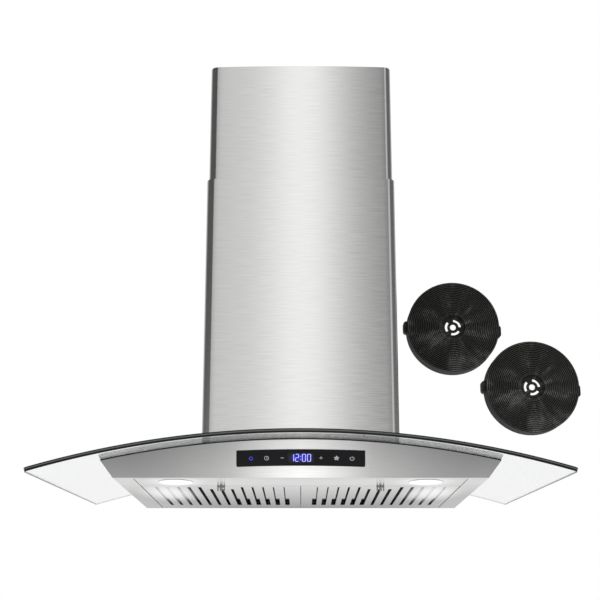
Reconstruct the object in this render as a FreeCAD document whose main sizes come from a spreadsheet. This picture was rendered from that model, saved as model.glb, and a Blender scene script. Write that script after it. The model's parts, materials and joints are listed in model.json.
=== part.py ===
import FreeCAD, Part
import math
import os

import Sketcher
from FreeCAD import Placement, Rotation, Vector

# Glass canopy range hood, wall hung, in millimetres.
# X runs to the right, Y towards the wall and Z up. The origin is on the wall,
# at the centre of the four wall bolts in the back of the blower box.

SIZES = {
    # Shared
    "sheet": 1.0,
    "overrun": 5.0,
    "seat_gap": 0.3,
    "bolt_rise": 110.0,
    # Glass canopy
    "glass_width": 750.0,
    "glass_depth": 510.0,
    "glass_thick": 6.0,
    "arch_radius": 1330.0,
    "glass_corner": 12.0,
    "wall_gap": 2.0,
    "notch_gap": 3.0,
    "notch_corner": 10.0,
    "gasket_thick": 2.0,
    "gasket_width": 12.0,
    # Hood body under the glass
    "border_side": 30.4,
    "body_front_low": 361.0,
    "body_front_high": 460.0,
    "side_front": 12.82,
    "slope_rise": 15.0,
    "border_rear": 15.0,
    "border_front": 10.0,
    "fascia_thick": 1.2,
    "fascia_gap": 0.1,
    "deck_thick": 1.2,
    "deck_setback": 24.0,
    # Touch control
    "control_width": 186.0,
    "control_start": 29.0,
    "control_height": 44.0,
    "control_thick": 2.9,
    "control_proud": 2.3,
    "control_fit": 0.4,
    "tray_rim": 5.0,
    "tray_depth": 4.9,
    "tray_face": 1.6,
    "tray_wall": 1.2,
    "board_thick": 1.2,
    "board_gap": 0.3,
    "key_pitch": 22.5,
    "key_spring_radius": 3.0,
    "key_spring_wall": 0.6,
    "display_width": 28.0,
    "display_height": 14.0,
    # Light panel and lamps
    "light_rear": 277.5,
    "light_front": 350.5,
    "light_lip": 12.0,
    "lamp_inset": 59.3,
    "lamp_back": 321.0,
    "lamp_flange_radius": 26.0,
    "lamp_flange": 1.5,
    "lamp_barrel_radius": 23.8,
    "lamp_barrel": 10.0,
    "lamp_bore_radius": 20.0,
    "lamp_hole_gap": 0.2,
    "lens_thick": 2.5,
    "lens_proud": 1.0,
    "lamp_can": 12.0,
    "clip_length": 12.0,
    "clip_width": 8.0,
    "clip_thick": 0.8,
    # Baffle filters
    "filter_width": 250.0,
    "filter_rear": 16.5,
    "filter_depth": 260.0,
    "filter_thick": 11.0,
    "filter_split": 1.0,
    "filter_gap": 0.6,
    "filter_sheet": 0.8,
    "filter_wall": 1.0,
    "slot_margin": 23.0,
    "slot_width": 8.0,
    "slit_width": 1.6,
    "slit_rear": 131.0,
    "slot_front": 264.0,
    "slot_rear": 44.0,
    "latch_slot_front": 242.0,
    "baffle_gap": 4.0,
    "baffle_leg": 4.0,
    "baffle_top": 8.8,
    "baffle_margin": 4.0,
    "hinge_back": 22.5,
    "hinge_height": 4.0,
    "hinge_rod_radius": 2.0,
    "running_gap": 0.05,
    "knuckle_radius": 3.3,
    "knuckle_length": 20.0,
    "knuckle_offset": 60.0,
    "bracket_thick": 1.5,
    "bracket_gap": 2.0,
    "bracket_reach": 9.0,
    # Filter latches
    "latch_width": 12.0,
    "latch_length": 19.0,
    "latch_thick": 3.6,
    "latch_travel": 6.0,
    "latch_drop": 7.5,
    "grip_thick": 2.6,
    "grip_gap": 4.0,
    "tongue_width": 8.0,
    "tongue_reach": 5.0,
    "tongue_thick": 2.4,
    "latch_play": 0.4,
    "latch_notch": 3.4,
    "keeper_gap": 0.2,
    "keeper_depth": 2.8,
    "keeper_reach": 3.0,
    "keeper_thick": 0.5,
    "spring_length": 11.0,
    "spring_radius": 1.6,
    "spring_wall": 0.4,
    "stop_thick": 2.0,
    # Blower box
    "blower_width": 300.0,
    "blower_depth": 215.0,
    "blower_top": 262.0,
    "blower_sheet": 1.2,
    "flange_width": 10.0,
    "wall_bolt_x": 200.0,
    "wall_bolt_z": 120.0,
    "wall_bolt_radius": 4.0,
    "flange_bolt_front": 165.0,
    "flange_bolt_rear": 50.0,
    "flange_bolt_radius": 2.0,
    "flange_head_radius": 3.5,
    "flange_head": 2.5,
    "bolt_gap": 0.2,
    "slope_allowance": 0.5,
    "glass_clip_front": 150.0,
    "glass_clip_rear": 60.0,
    "glass_clip_width": 20.0,
    "glass_clip_reach": 10.0,
    "glass_clip_rise": 18.0,
    "glass_clip_thick": 1.5,
    # Fan scroll, impeller and motor
    "fan_back": 104.0,
    "fan_rise": 125.0,
    "scroll_radius": 76.0,
    "scroll_step": 6.0,
    "scroll_half": 60.0,
    "scroll_wall": 1.5,
    "scroll_neck_front": 34.0,
    "scroll_neck_top": 240.0,
    "inlet_hole_radius": 62.0,
    "inlet_ring_radius": 70.0,
    "inlet_bore_radius": 56.0,
    "inlet_tube": 12.0,
    "lug_reach": 4.0,
    "lug_width": 16.0,
    "lug_thick": 3.0,
    "blade_radius": 70.0,
    "blade_depth": 12.0,
    "blade_thick": 1.2,
    "impeller_half": 55.0,
    "impeller_disc_radius": 64.0,
    "impeller_disc": 2.0,
    "impeller_rim": 8.0,
    "hub_radius": 11.0,
    "hub_half": 7.0,
    "shaft_radius": 4.0,
    "shaft_left": 20.0,
    "motor_radius": 38.0,
    "motor_start": 9.0,
    "motor_end": 56.0,
    "motor_cap": 6.0,
    "motor_cap_radius": 24.0,
    "grommet_radius": 4.5,
    "grommet_ring": 16.0,
    "arm_width": 12.0,
    "arm_thick": 2.5,
    "capacitor_radius": 15.0,
    "capacitor_length": 60.0,
    "capacitor_back": 25.0,
    # Outlet, collar and dampers
    "collar_back": 84.0,
    "collar_radius": 75.0,
    "collar_wall": 1.5,
    "collar_rise": 50.0,
    "collar_flange_radius": 82.0,
    "collar_flange": 2.0,
    "adapter_half_width": 78.0,
    "adapter_front": 164.0,
    "adapter_rear": 4.0,
    "damper_height": 26.0,
    "damper_radius": 72.0,
    "damper_thick": 1.2,
    "damper_pin_offset": 3.5,
    "damper_pin_radius": 1.5,
    "damper_knuckle_radius": 3.0,
    "damper_knuckle_length": 26.0,
    "damper_knuckle_offset": 22.0,
    "screw_radius": 1.5,
    "screw_head_radius": 2.6,
    "screw_head": 1.6,
    # Mains box and wiring
    "mains_inset": 4.0,
    "mains_width": 58.0,
    "mains_front": 150.0,
    "mains_rear": 30.0,
    "mains_height": 38.0,
    "mains_wall": 2.0,
    "mains_lid": 3.0,
    "gland_radius": 9.0,
    "gland_bore_radius": 4.0,
    "gland_height": 15.0,
    "gland_foot_radius": 12.0,
    "gland_foot": 4.0,
    "driver_width": 22.0,
    "driver_length": 90.0,
    "driver_height": 11.0,
    "cable_radius": 2.0,
    "cable_bend": 14.0,
    "cable_hole_radius": 5.0,
    "cable_channel": 19.5,
    "cable_riser_inset": 22.0,
    "cable_riser_back": 40.0,
    # Chimney
    "chimney_side_room": 13.0,
    "chimney_front_room": 15.0,
    "chimney_bow": 5.0,
    "chimney_corner": 14.0,
    "chimney_slide_gap": 2.2,
    "chimney_lower_top": 488.0,
    "chimney_upper_top": 702.0,
    "chimney_upper_length": 430.0,
    "chimney_return": 11.0,
    "upper_return": 7.0,
    "upper_back": 1.6,
    "side_bracket_rise": 40.0,
    "side_bracket_height": 20.0,
    "side_bracket_front": 60.0,
    "side_bracket_rear": 20.0,
    "top_bracket_drop": 42.0,
    "top_bracket_height": 30.0,
    "top_bracket_thick": 2.0,
    "top_bracket_reach": 42.0,
    "top_bolt_spacing": 200.0,
    "top_bolt_radius": 3.0,
    # Charcoal filters, shown taken off and lying against the wall
    "charcoal_radius": 86.0,
    "charcoal_thick": 34.0,
    "charcoal_wall": 1.5,
    "charcoal_hub_radius": 24.0,
    "charcoal_rib": 1.8,
    "charcoal_rib_gap": 1.56,
    "charcoal_spoke": 4.0,
    "charcoal_lug": 7.0,
    "charcoal_lug_width": 24.0,
    "charcoal_eye_radius": 5.5,
    "charcoal_slot_radius": 15.0,
    "charcoal_slot_width": 4.2,
    "charcoal_slot_bridge": 11.0,
    "charcoal_upper_x": 286.0,
    "charcoal_upper_rise": 275.0,
    "charcoal_lower_x": 429.0,
    "charcoal_lower_rise": 160.5,
}

SLOT_COUNT = 13
LATCH_SLOTS = 3
BLADE_COUNT = 30
LUG_COUNT = 3
ARM_COUNT = 3
RIB_COUNT = 18
SPOKE_COUNT = 6
EYE_SLOTS = 3
SAME_PLACE = 1e-6

doc = FreeCAD.newDocument("canopy_hood")
sheet = doc.addObject("Spreadsheet::Sheet", "Sizes")
for row, (alias, number) in enumerate(SIZES.items(), start=1):
    sheet.set(f"A{row}", alias)
    sheet.set(f"B{row}", str(number))
    sheet.setAlias(f"B{row}", alias)
doc.recompute()


class Size:
    """A size worked out from the sheet: its value now, and the text that binds an object to it."""

    def __init__(self, value, text):
        self.value = value
        self.text = text

    def __add__(self, other):
        other = size(other)
        return Size(self.value + other.value, f"({self.text} + {other.text})")

    def __sub__(self, other):
        other = size(other)
        return Size(self.value - other.value, f"({self.text} - {other.text})")

    def __mul__(self, other):
        other = size(other)
        return Size(self.value * other.value, f"({self.text} * {other.text})")

    def __truediv__(self, other):
        other = size(other)
        return Size(self.value / other.value, f"({self.text} / {other.text})")

    def __radd__(self, other):
        return size(other) + self

    def __rsub__(self, other):
        return size(other) - self

    def __rmul__(self, other):
        return size(other) * self

    def __neg__(self):
        return Size(-self.value, f"(-{self.text})")


def size(thing):
    return thing if isinstance(thing, Size) else Size(float(thing), repr(float(thing)))


def root(thing):
    return Size(math.sqrt(thing.value), f"sqrt({thing.text})")


def arcsine(thing):
    return Size(math.degrees(math.asin(thing.value)), f"asin({thing.text})")


def arctangent(thing):
    return Size(math.degrees(math.atan(thing.value)), f"atan({thing.text})")


def degrees(number):
    return Size(float(number), f"{number} deg")


class Sheet:
    """Gives each named cell of the sheet as a Size."""

    def __getattr__(self, name):
        return Size(float(SIZES[name]), f"Sizes.{name}")


s = Sheet()


# Small tools for making and placing things


def bind(thing, prop, value):
    thing.setExpression(prop, size(value).text)


def place(thing, x=0, y=0, z=0, axis=None, angle=0):
    """Moves a thing to x, y, z, turned about an axis through its own origin."""
    if axis is not None:
        thing.Placement = Placement(Vector(), Rotation(axis, size(angle).value))
        bind(thing, "Placement.Rotation.Angle", angle)
    for letter, value in zip("xyz", (x, y, z)):
        bind(thing, f"Placement.Base.{letter}", value)
    return thing


def box(low, high):
    thing = doc.addObject("Part::Box", "block")
    for prop, start, end in zip(("Length", "Width", "Height"), low, high):
        bind(thing, prop, size(end) - start)
    return place(thing, *low)


ROD_TURNS = {"X": (Vector(0, 1, 0), 90), "Y": (Vector(1, 0, 0), -90), "Z": (None, 0)}


def rod(axis, centre, radius, start, end):
    """A round bar along an axis; centre holds its place on the other two axes, in X, Y, Z order."""
    thing = doc.addObject("Part::Cylinder", "bar")
    bind(thing, "Radius", radius)
    bind(thing, "Height", size(end) - start)
    turn, angle = ROD_TURNS[axis]
    spot = list(centre)
    spot.insert("XYZ".index(axis), start)
    return place(thing, *spot, axis=turn, angle=angle)


def cut(base, *tools):
    thing = doc.addObject("Part::Cut", "cut")
    thing.Base = base
    thing.Tool = tools[0] if len(tools) == 1 else fuse(*tools)
    return thing


def fuse(*parts):
    thing = doc.addObject("Part::MultiFuse", "fused")
    thing.Shapes = list(parts)
    return thing


def common(first, second):
    thing = doc.addObject("Part::Common", "shared")
    thing.Base = first
    thing.Tool = second
    return thing


def group(*parts):
    thing = doc.addObject("Part::Compound", "group")
    thing.Links = list(parts)
    return thing


def turned(thing, x, y, z, axis, angle):
    """Moves and turns a finished thing as a whole, keeping the place it has already."""
    if thing.TypeId in ("Part::Box", "Part::Cylinder"):
        thing = group(thing)
    return place(thing, x, y, z, axis, angle)


def ring(axis, centre, outer, inner, start, end):
    bore = rod(axis, centre, inner, size(start) - s.overrun, size(end) + s.overrun)
    return cut(rod(axis, centre, outer, start, end), bore)


# Sketched bodies


def body():
    return doc.addObject("PartDesign::Body", "body")


def sketch_on(owner, plane, level):
    """A sketch on one of the body's own planes, moved to a level along the axis square to it."""
    sketch = owner.newObject("Sketcher::SketchObject", "sketch")
    origin = [f for f in owner.Origin.OriginFeatures if f.Role == plane + "_Plane"][0]
    sketch.AttachmentSupport = [(origin, "")]
    sketch.MapMode = "FlatFace"
    bind(sketch, "AttachmentOffset.Base.z", -size(level) if plane == "XZ" else level)
    return sketch


def hold(sketch, kind, number, *ends):
    """A dimension on a sketch that follows its named size."""
    row = sketch.addConstraint(Sketcher.Constraint(kind, *ends, number.value))
    sketch.setExpression(f"Constraints[{row}]", number.text)


def pin_point(sketch, edge, end, across, up):
    """Ties one end or centre of an edge to its place, measured from the sketch's origin."""
    hold(sketch, "DistanceX", size(across), -1, 1, edge, end)
    hold(sketch, "DistanceY", size(up), -1, 1, edge, end)


def arc_between(start, end, radius):
    """The short arc from start to end, bulging right of the way, as on an outline run anticlockwise."""
    chord = end - start
    middle = (start + end) * 0.5
    left = Vector(-chord.y, chord.x, 0).normalize()
    centre = middle + left * math.sqrt(max(radius**2 - chord.Length**2 / 4, 0))
    angles = [math.atan2(p.y - centre.y, p.x - centre.x) for p in (start, end)]
    return Part.ArcOfCircle(Part.Circle(centre, Vector(0, 0, 1), radius), *angles)


def draw(sketch, corners, arcs=None):
    """A closed outline, anticlockwise; arcs maps the number of a side to its radius."""
    arcs = arcs or {}
    spots = [Vector(size(a).value, size(b).value, 0) for a, b in corners]
    first = sketch.GeometryCount
    count = len(spots)
    for side in range(count):
        start, end = spots[side], spots[(side + 1) % count]
        if side in arcs:
            sketch.addGeometry(arc_between(start, end, size(arcs[side]).value), False)
        else:
            sketch.addGeometry(Part.LineSegment(start, end), False)
    for side in range(count):
        following = first + (side + 1) % count
        sketch.addConstraint(Sketcher.Constraint("Coincident", first + side, 2, following, 1))
    for side, (across, up) in enumerate(corners):
        pin_point(sketch, first + side, 1, across, up)
    for side, radius in arcs.items():
        hold(sketch, "Radius", size(radius), first + side)


def draw_circle(sketch, across, up, radius):
    circle = Part.Circle(Vector(size(across).value, size(up).value, 0), Vector(0, 0, 1), size(radius).value)
    edge = sketch.addGeometry(circle, False)
    pin_point(sketch, edge, 3, across, up)
    hold(sketch, "Radius", size(radius), edge)


def fill(sketch, outlines, circles, arcs):
    for number, outline in enumerate(outlines):
        draw(sketch, outline, (arcs or {}).get(number))
    for circle in circles:
        draw_circle(sketch, *circle)


def pad(owner, plane, low, high, *outlines, circles=(), arcs=None):
    sketch = sketch_on(owner, plane, high if plane == "XZ" else low)
    fill(sketch, outlines, circles, arcs)
    feature = owner.newObject("PartDesign::Pad", "pad")
    feature.Profile = sketch
    bind(feature, "Length", size(high) - low)
    doc.recompute()
    return feature


def pocket(owner, plane, low, high, *outlines, circles=(), arcs=None):
    sketch = sketch_on(owner, plane, low if plane == "XZ" else high)
    fill(sketch, outlines, circles, arcs)
    feature = owner.newObject("PartDesign::Pocket", "pocket")
    feature.Profile = sketch
    bind(feature, "Length", size(high) - low)
    doc.recompute()
    return feature


def row_of(owner, feature, count, length):
    """Repeats a feature along X; length is the distance from the first copy to the last."""
    pattern = owner.newObject("PartDesign::LinearPattern", "row")
    pattern.Originals = [feature]
    pattern.Direction = (feature.Profile[0], ["H_Axis"])
    bind(pattern, "Length", length)
    pattern.Occurrences = count
    owner.Tip = pattern
    doc.recompute()
    return pattern


def circle_of(owner, feature, count):
    """Repeats a feature round the axis square to its sketch."""
    pattern = owner.newObject("PartDesign::PolarPattern", "circle")
    pattern.Originals = [feature]
    pattern.Axis = (feature.Profile[0], ["N_Axis"])
    pattern.Angle = 360
    pattern.Occurrences = count
    owner.Tip = pattern
    doc.recompute()
    return pattern


def round_edges(owner, radius, wanted):
    """Rounds the edges of a body's last feature that run straight up and pass the test."""
    base = owner.Tip
    names = []
    for number, edge in enumerate(base.Shape.Edges, start=1):
        ends = [v.Point for v in edge.Vertexes]
        upright = len(ends) == 2 and (ends[1] - ends[0]).cross(Vector(0, 0, 1)).Length < SAME_PLACE
        if upright and wanted(ends[0]):
            names.append(f"Edge{number}")
    feature = owner.newObject("PartDesign::Fillet", "rounding")
    feature.Base = (base, names)
    bind(feature, "Radius", radius)
    doc.recompute()
    return feature


def rectangle(left, right, low, high):
    return [(left, low), (right, low), (right, high), (left, high)]


# The named pieces

nodes = []


def node(name, thing):
    """Registers a finished piece under its name."""
    thing.Label = name
    nodes.append(thing)
    return thing


# Shared levels and curves

crown = -s.bolt_rise
arch_axis = crown - s.arch_radius
half_glass = s.glass_width / 2
filter_outer = s.filter_width + s.filter_split / 2
filter_opening = filter_outer + s.filter_gap
half_body = filter_opening + s.border_side
deck_top = -s.gasket_thick
deck_under = deck_top - s.deck_thick
blower_half = s.blower_width / 2
fan_level = crown + s.fan_rise
box_top = crown + s.blower_top


def arch_height(across, offset=0):
    """Height of the curve that lies an offset above the glass's underside, at a distance from the centre."""
    radius = s.arch_radius + offset
    return arch_axis + root(radius * radius - across * across)


def arch_bar(offset):
    """A solid bar under the curve that lies an offset above the glass's underside."""
    reach = s.glass_depth + s.body_front_high
    return rod("Y", (0, arch_axis), s.arch_radius + offset, -reach, s.overrun)


def arch_layer(low, high):
    return cut(arch_bar(high), arch_bar(low))


def arch_plate(low, high, plan):
    """A curved plate between two offsets from the glass's underside, with the plan of a flat body."""
    return common(plan, arch_layer(low, high))


side_top = arch_height(half_body, deck_top)
front_level = side_top - s.side_front
rear_level = front_level - s.slope_rise
drop_front = crown - front_level

# The underside slopes down to the wall. Its pieces are drawn flat, with the height
# above its outer face as Z, and then tilted into place.

slope = -arctangent(s.slope_rise / s.body_front_low)


def tilted(thing):
    return turned(thing, 0, 0, rear_level, Vector(1, 0, 0), slope)


# The fascia leans forward. Its pieces are drawn flat, with the distance up the
# lean as Y and the distance out of its face as Z, and then leaned into place.

lean = degrees(180) - arctangent(drop_front / (s.body_front_high - s.body_front_low))


def leaned(thing):
    return turned(thing, 0, -s.body_front_low, front_level, Vector(1, 0, 0), lean)


# Glass canopy

notch_half = blower_half + s.notch_gap
notch_front = -(s.blower_depth + s.notch_gap)


def plan_body(low_offset, high_offset, outlines):
    """A flat plan, tall enough to cut a curved layer out of."""
    owner = body()
    low = arch_height(half_glass) + low_offset - s.overrun
    pad(owner, "XY", low, crown + high_offset + s.overrun, *outlines)
    return owner


glass_outline = [
    (-half_glass, -s.glass_depth),
    (half_glass, -s.glass_depth),
    (half_glass, -s.wall_gap),
    (notch_half, -s.wall_gap),
    (notch_half, notch_front),
    (-notch_half, notch_front),
    (-notch_half, -s.wall_gap),
    (-half_glass, -s.wall_gap),
]
glass_plan = plan_body(-s.gasket_thick, s.glass_thick, [glass_outline])
round_edges(glass_plan, s.glass_corner, lambda p: p.y < notch_front.value - s.overrun.value)
round_edges(
    glass_plan,
    s.notch_corner,
    lambda p: abs(p.y - notch_front.value) < s.notch_gap.value and abs(p.x) < half_body.value,
)
node("glass_canopy", arch_plate(0, s.glass_thick, glass_plan))

gasket_plan = plan_body(
    -s.gasket_thick,
    0,
    [
        rectangle(-half_body, half_body, -s.body_front_high, -s.wall_gap),
        rectangle(
            -half_body + s.gasket_width,
            half_body - s.gasket_width,
            -s.body_front_high + s.gasket_width,
            -s.wall_gap - s.gasket_width,
        ),
    ],
)
blower_zone = box(
    (-notch_half, -s.blower_depth, crown - s.overrun - s.gasket_thick - s.glass_thick - s.notch_corner),
    (notch_half, s.overrun, crown + s.overrun),
)
node("glass_gasket", cut(arch_plate(deck_top, 0, gasket_plan), blower_zone))

# Hood body: an open pan with sloping underside, a leaned fascia and a curved top deck

pan_front = -s.body_front_low + s.fascia_gap
lean_lift = s.fascia_thick + s.fascia_gap
slope_share = s.slope_rise / s.body_front_low


def underside_level(back, lift=0):
    """Height of the underside's outer face at a distance from the wall."""
    return rear_level + back * slope_share + lift


outer_side = [
    (0, rear_level),
    (0, crown),
    (-s.body_front_high, crown),
    (-s.body_front_high, side_top + lean_lift),
    (pan_front, front_level + lean_lift),
    (pan_front, front_level),
]
inner_side = [
    (-s.sheet, underside_level(s.sheet, s.sheet)),
    (-s.sheet, crown + s.overrun),
    (-s.body_front_high - s.overrun, crown + s.overrun),
    (-s.body_front_high - s.overrun, underside_level(s.body_front_high + s.overrun, s.sheet)),
]
pan = body()
pad(pan, "YZ", -half_body, half_body, outer_side[::-1])
pocket(pan, "YZ", -half_body + s.sheet, half_body - s.sheet, inner_side[::-1])
light_half = filter_outer + s.seat_gap
light_opening = light_half + s.seat_gap
openings_meet = -(s.filter_rear + s.filter_depth)
for half, front, rear in (
    (filter_opening, openings_meet, -s.border_rear),
    (light_opening, -s.body_front_low + s.border_front, openings_meet),
):
    pocket(
        pan,
        "XY",
        rear_level - s.overrun,
        front_level + s.overrun,
        rectangle(-half, half, front, rear),
    )
node("body_shell", common(pan, arch_bar(deck_top)))

fascia_top = doc.addObject("Part::Circle", "fascia_top_edge")
bind(fascia_top, "Radius", s.arch_radius + deck_top)
half_angle = arcsine(half_body / (s.arch_radius + deck_top))
bind(fascia_top, "Angle1", degrees(90) - half_angle)
bind(fascia_top, "Angle2", degrees(90) + half_angle)
place(fascia_top, 0, -s.body_front_high, arch_axis, axis=Vector(1, 0, 0), angle=90)
fascia_foot = doc.addObject("Part::Line", "fascia_foot_edge")
for letter, first_end, second_end in (
    ("X", half_body, -half_body),
    ("Y", -s.body_front_low, -s.body_front_low),
    ("Z", front_level, front_level),
):
    bind(fascia_foot, letter + "1", first_end)
    bind(fascia_foot, letter + "2", second_end)
fascia_face = doc.addObject("Part::RuledSurface", "fascia_face")
fascia_face.Curve1 = (fascia_foot, ["Edge1"])
fascia_face.Curve2 = (fascia_top, ["Edge1"])
fascia_sheet = doc.addObject("Part::Extrusion", "fascia_sheet")
fascia_sheet.Base = fascia_face
fascia_sheet.DirMode = "Custom"
fascia_sheet.Dir = Vector(0, 0, 1)
fascia_sheet.Solid = True
bind(fascia_sheet, "LengthFwd", s.fascia_thick)

half_control = s.control_width / 2
control_end = s.control_start + s.control_height


def control_block(grow, low, high):
    """A block over the control's place on the fascia, larger all round by a margin."""
    return box(
        (-half_control - grow, s.control_start - grow, low),
        (half_control + grow, control_end + grow, high),
    )


control_hole = leaned(control_block(s.control_fit, -s.overrun, s.overrun))
node("front_fascia", common(cut(fascia_sheet, control_hole), arch_bar(deck_top)))

deck_half = half_body - s.sheet - s.seat_gap
deck_opening = rectangle(
    -blower_half + s.flange_width,
    blower_half - s.flange_width,
    -s.blower_depth + s.flange_width,
    -s.flange_width,
)
deck_plan = plan_body(
    deck_under,
    deck_top,
    [
        rectangle(-deck_half, deck_half, -s.body_front_high + s.deck_setback, -s.sheet - s.seat_gap),
        deck_opening,
    ],
)
flange_bolt_x = blower_half - (s.flange_width + s.blower_sheet) / 2
flange_spots = [
    (side * flange_bolt_x, -back) for side in (-1, 1) for back in (s.flange_bolt_rear, s.flange_bolt_front)
]


def flange_bores():
    low = arch_height(flange_bolt_x, deck_under) - s.overrun
    high = arch_height(flange_bolt_x, 0) + s.overrun
    radius = s.flange_bolt_radius + s.bolt_gap
    return [rod("Z", spot, radius, low, high) for spot in flange_spots]


node("top_deck", cut(arch_plate(deck_under, deck_top, deck_plan), *flange_bores()))

# Touch control: black glass, tray, board, touch springs and display

node(
    "control_glass",
    leaned(control_block(0, s.control_proud - s.control_thick, s.control_proud)),
)
tray_back = -s.tray_face - s.tray_depth
tray_block = control_block(s.tray_rim, tray_back, -s.tray_face)
tray_room = control_block(s.tray_rim - s.tray_wall, tray_back + s.tray_wall, -s.tray_face + s.overrun)
node("control_tray", leaned(cut(tray_block, tray_room)))
board_low = tray_back + s.tray_wall + s.board_gap
board_high = board_low + s.board_thick
node("control_board", leaned(control_block(0, board_low, board_high)))
control_middle = s.control_start + s.control_height / 2
control_back = s.control_proud - s.control_thick
key_low = board_high + s.board_gap
key_high = control_back - s.board_gap
key_steps = (-3.2, -2.2, -1.2, 1.3, 2.3, 3.3)
node(
    "touch_springs",
    leaned(
        group(
            *[
                ring(
                    "Z",
                    (step * s.key_pitch, control_middle),
                    s.key_spring_radius,
                    s.key_spring_radius - s.key_spring_wall,
                    key_low,
                    key_high,
                )
                for step in key_steps
            ]
        )
    ),
)
node(
    "time_display",
    leaned(
        box(
            (-s.display_width / 2, control_middle - s.display_height / 2, key_low),
            (s.display_width / 2, control_middle + s.display_height / 2, key_high),
        )
    ),
)

# Light panel and the two lamps

lamp_x = light_half - s.lamp_inset
lamp_hole = s.lamp_barrel_radius + s.lamp_hole_gap
latch_x = (s.filter_width + s.filter_split) / 2
tongue_low = s.filter_sheet + s.latch_play + (s.latch_thick - s.tongue_thick) / 2
tongue_high = tongue_low + s.tongue_thick
tongue_half = s.tongue_width / 2
light_panel = body()
pad(
    light_panel,
    "XY",
    0,
    s.sheet,
    rectangle(-light_half, light_half, -s.light_front, -s.light_rear),
    circles=[(-lamp_x, -s.lamp_back, lamp_hole), (lamp_x, -s.lamp_back, lamp_hole)],
)
rear_lip = rectangle(-light_half, light_half, -s.light_rear - s.sheet, -s.light_rear)
front_lip = rectangle(-light_half, light_half, -s.light_front, -s.light_front + s.sheet)
pad(light_panel, "XY", 0, s.light_lip, rear_lip)
pad(light_panel, "XY", 0, s.light_lip / 2, front_lip)
notch_reach = tongue_half + s.latch_play
for side, name in ((-1, "left"), (1, "right")):
    middle = side * latch_x
    pocket(
        light_panel,
        "XY",
        -s.overrun,
        tongue_high + s.latch_play,
        rectangle(
            middle - notch_reach,
            middle + notch_reach,
            -s.light_rear - s.latch_notch,
            -s.light_rear + s.overrun,
        ),
    )
    keeper_rear = -s.light_rear - s.sheet - s.keeper_gap
    keeper = box(
        (middle - notch_reach - s.keeper_reach, keeper_rear - s.keeper_depth, s.sheet),
        (middle + notch_reach + s.keeper_reach, keeper_rear, s.sheet + s.keeper_thick),
    )
    node(f"latch_keeper_{name}", tilted(keeper))
node("light_panel", tilted(light_panel))

clip_solids = []
for side, name in ((-1, "left"), (1, "right")):
    spot = (side * lamp_x, -s.lamp_back)
    flange = ring("Z", spot, s.lamp_flange_radius, s.lamp_bore_radius, -s.lamp_flange, 0)
    barrel = ring("Z", spot, s.lamp_barrel_radius, s.lamp_bore_radius, 0, s.lamp_barrel)
    node(f"lamp_{name}_bezel", tilted(fuse(flange, barrel)))
    lens_radius = s.lamp_bore_radius - s.seat_gap
    lens = rod("Z", spot, lens_radius, -s.lens_proud, s.lens_thick - s.lens_proud)
    node(f"lamp_{name}_lens", tilted(lens))
    can_low = s.lamp_barrel
    can = rod("Z", spot, s.lamp_barrel_radius, can_low, can_low + s.lamp_can)
    node(f"lamp_{name}_can", tilted(can))
    for way in (-1, 1):
        near = way * (s.lamp_barrel_radius + s.lamp_hole_gap)
        far = near + way * s.clip_length
        start, end = (near, far) if way > 0 else (far, near)
        clip_solids.append(
            box(
                (spot[0] + start, spot[1] - s.clip_width / 2, s.sheet + s.seat_gap),
                (spot[0] + end, spot[1] + s.clip_width / 2, s.sheet + s.seat_gap + s.clip_thick),
            )
        )
node("lamp_clips", tilted(group(*clip_solids)))

# Baffle filters with their hinge rod and latches

filter_front = -(s.filter_rear + s.filter_depth)
half_filter = s.filter_width / 2
slot_row = s.filter_width - 2 * s.slot_margin
slot_pitch = slot_row / (SLOT_COUNT - 1)
side_slots = (SLOT_COUNT - LATCH_SLOTS) // 2
side_row = (side_slots - 1) * slot_pitch
baffle_width = slot_pitch - s.baffle_gap
baffle_rear = -s.slot_rear + s.baffle_margin
baffle_front = -s.slot_front - s.baffle_margin
latch_low = s.filter_sheet + s.latch_play
latch_high = latch_low + s.latch_thick
latch_front = filter_front + s.filter_wall + s.latch_play
latch_rear = latch_front + s.latch_length
stop_front = latch_rear + s.spring_length
grip_rear = latch_front + s.grip_thick
window_rear = grip_rear + s.latch_travel + s.latch_play
window_half = s.latch_width / 2 + s.latch_play


def slot_outline(middle, outward):
    """A slot that is a narrow slit in front, along its outer edge, and full width at the rear."""
    outer_edge = middle + outward * s.slot_width / 2
    slit_edge = outer_edge - outward * s.slit_width
    inner_edge = outer_edge - outward * s.slot_width
    corners = [
        (outer_edge, -s.latch_slot_front),
        (slit_edge, -s.latch_slot_front),
        (slit_edge, -s.slit_rear),
        (inner_edge, -s.slit_rear),
        (inner_edge, -s.slot_rear),
        (outer_edge, -s.slot_rear),
    ]
    return corners if outward < 0 else corners[::-1]


def slit_outline(middle, outward, front, rear):
    outer_edge = middle + outward * s.slot_width / 2
    edges = outer_edge, outer_edge - outward * s.slit_width
    left, right = edges if outward < 0 else edges[::-1]
    return rectangle(left, right, front, rear)


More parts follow.
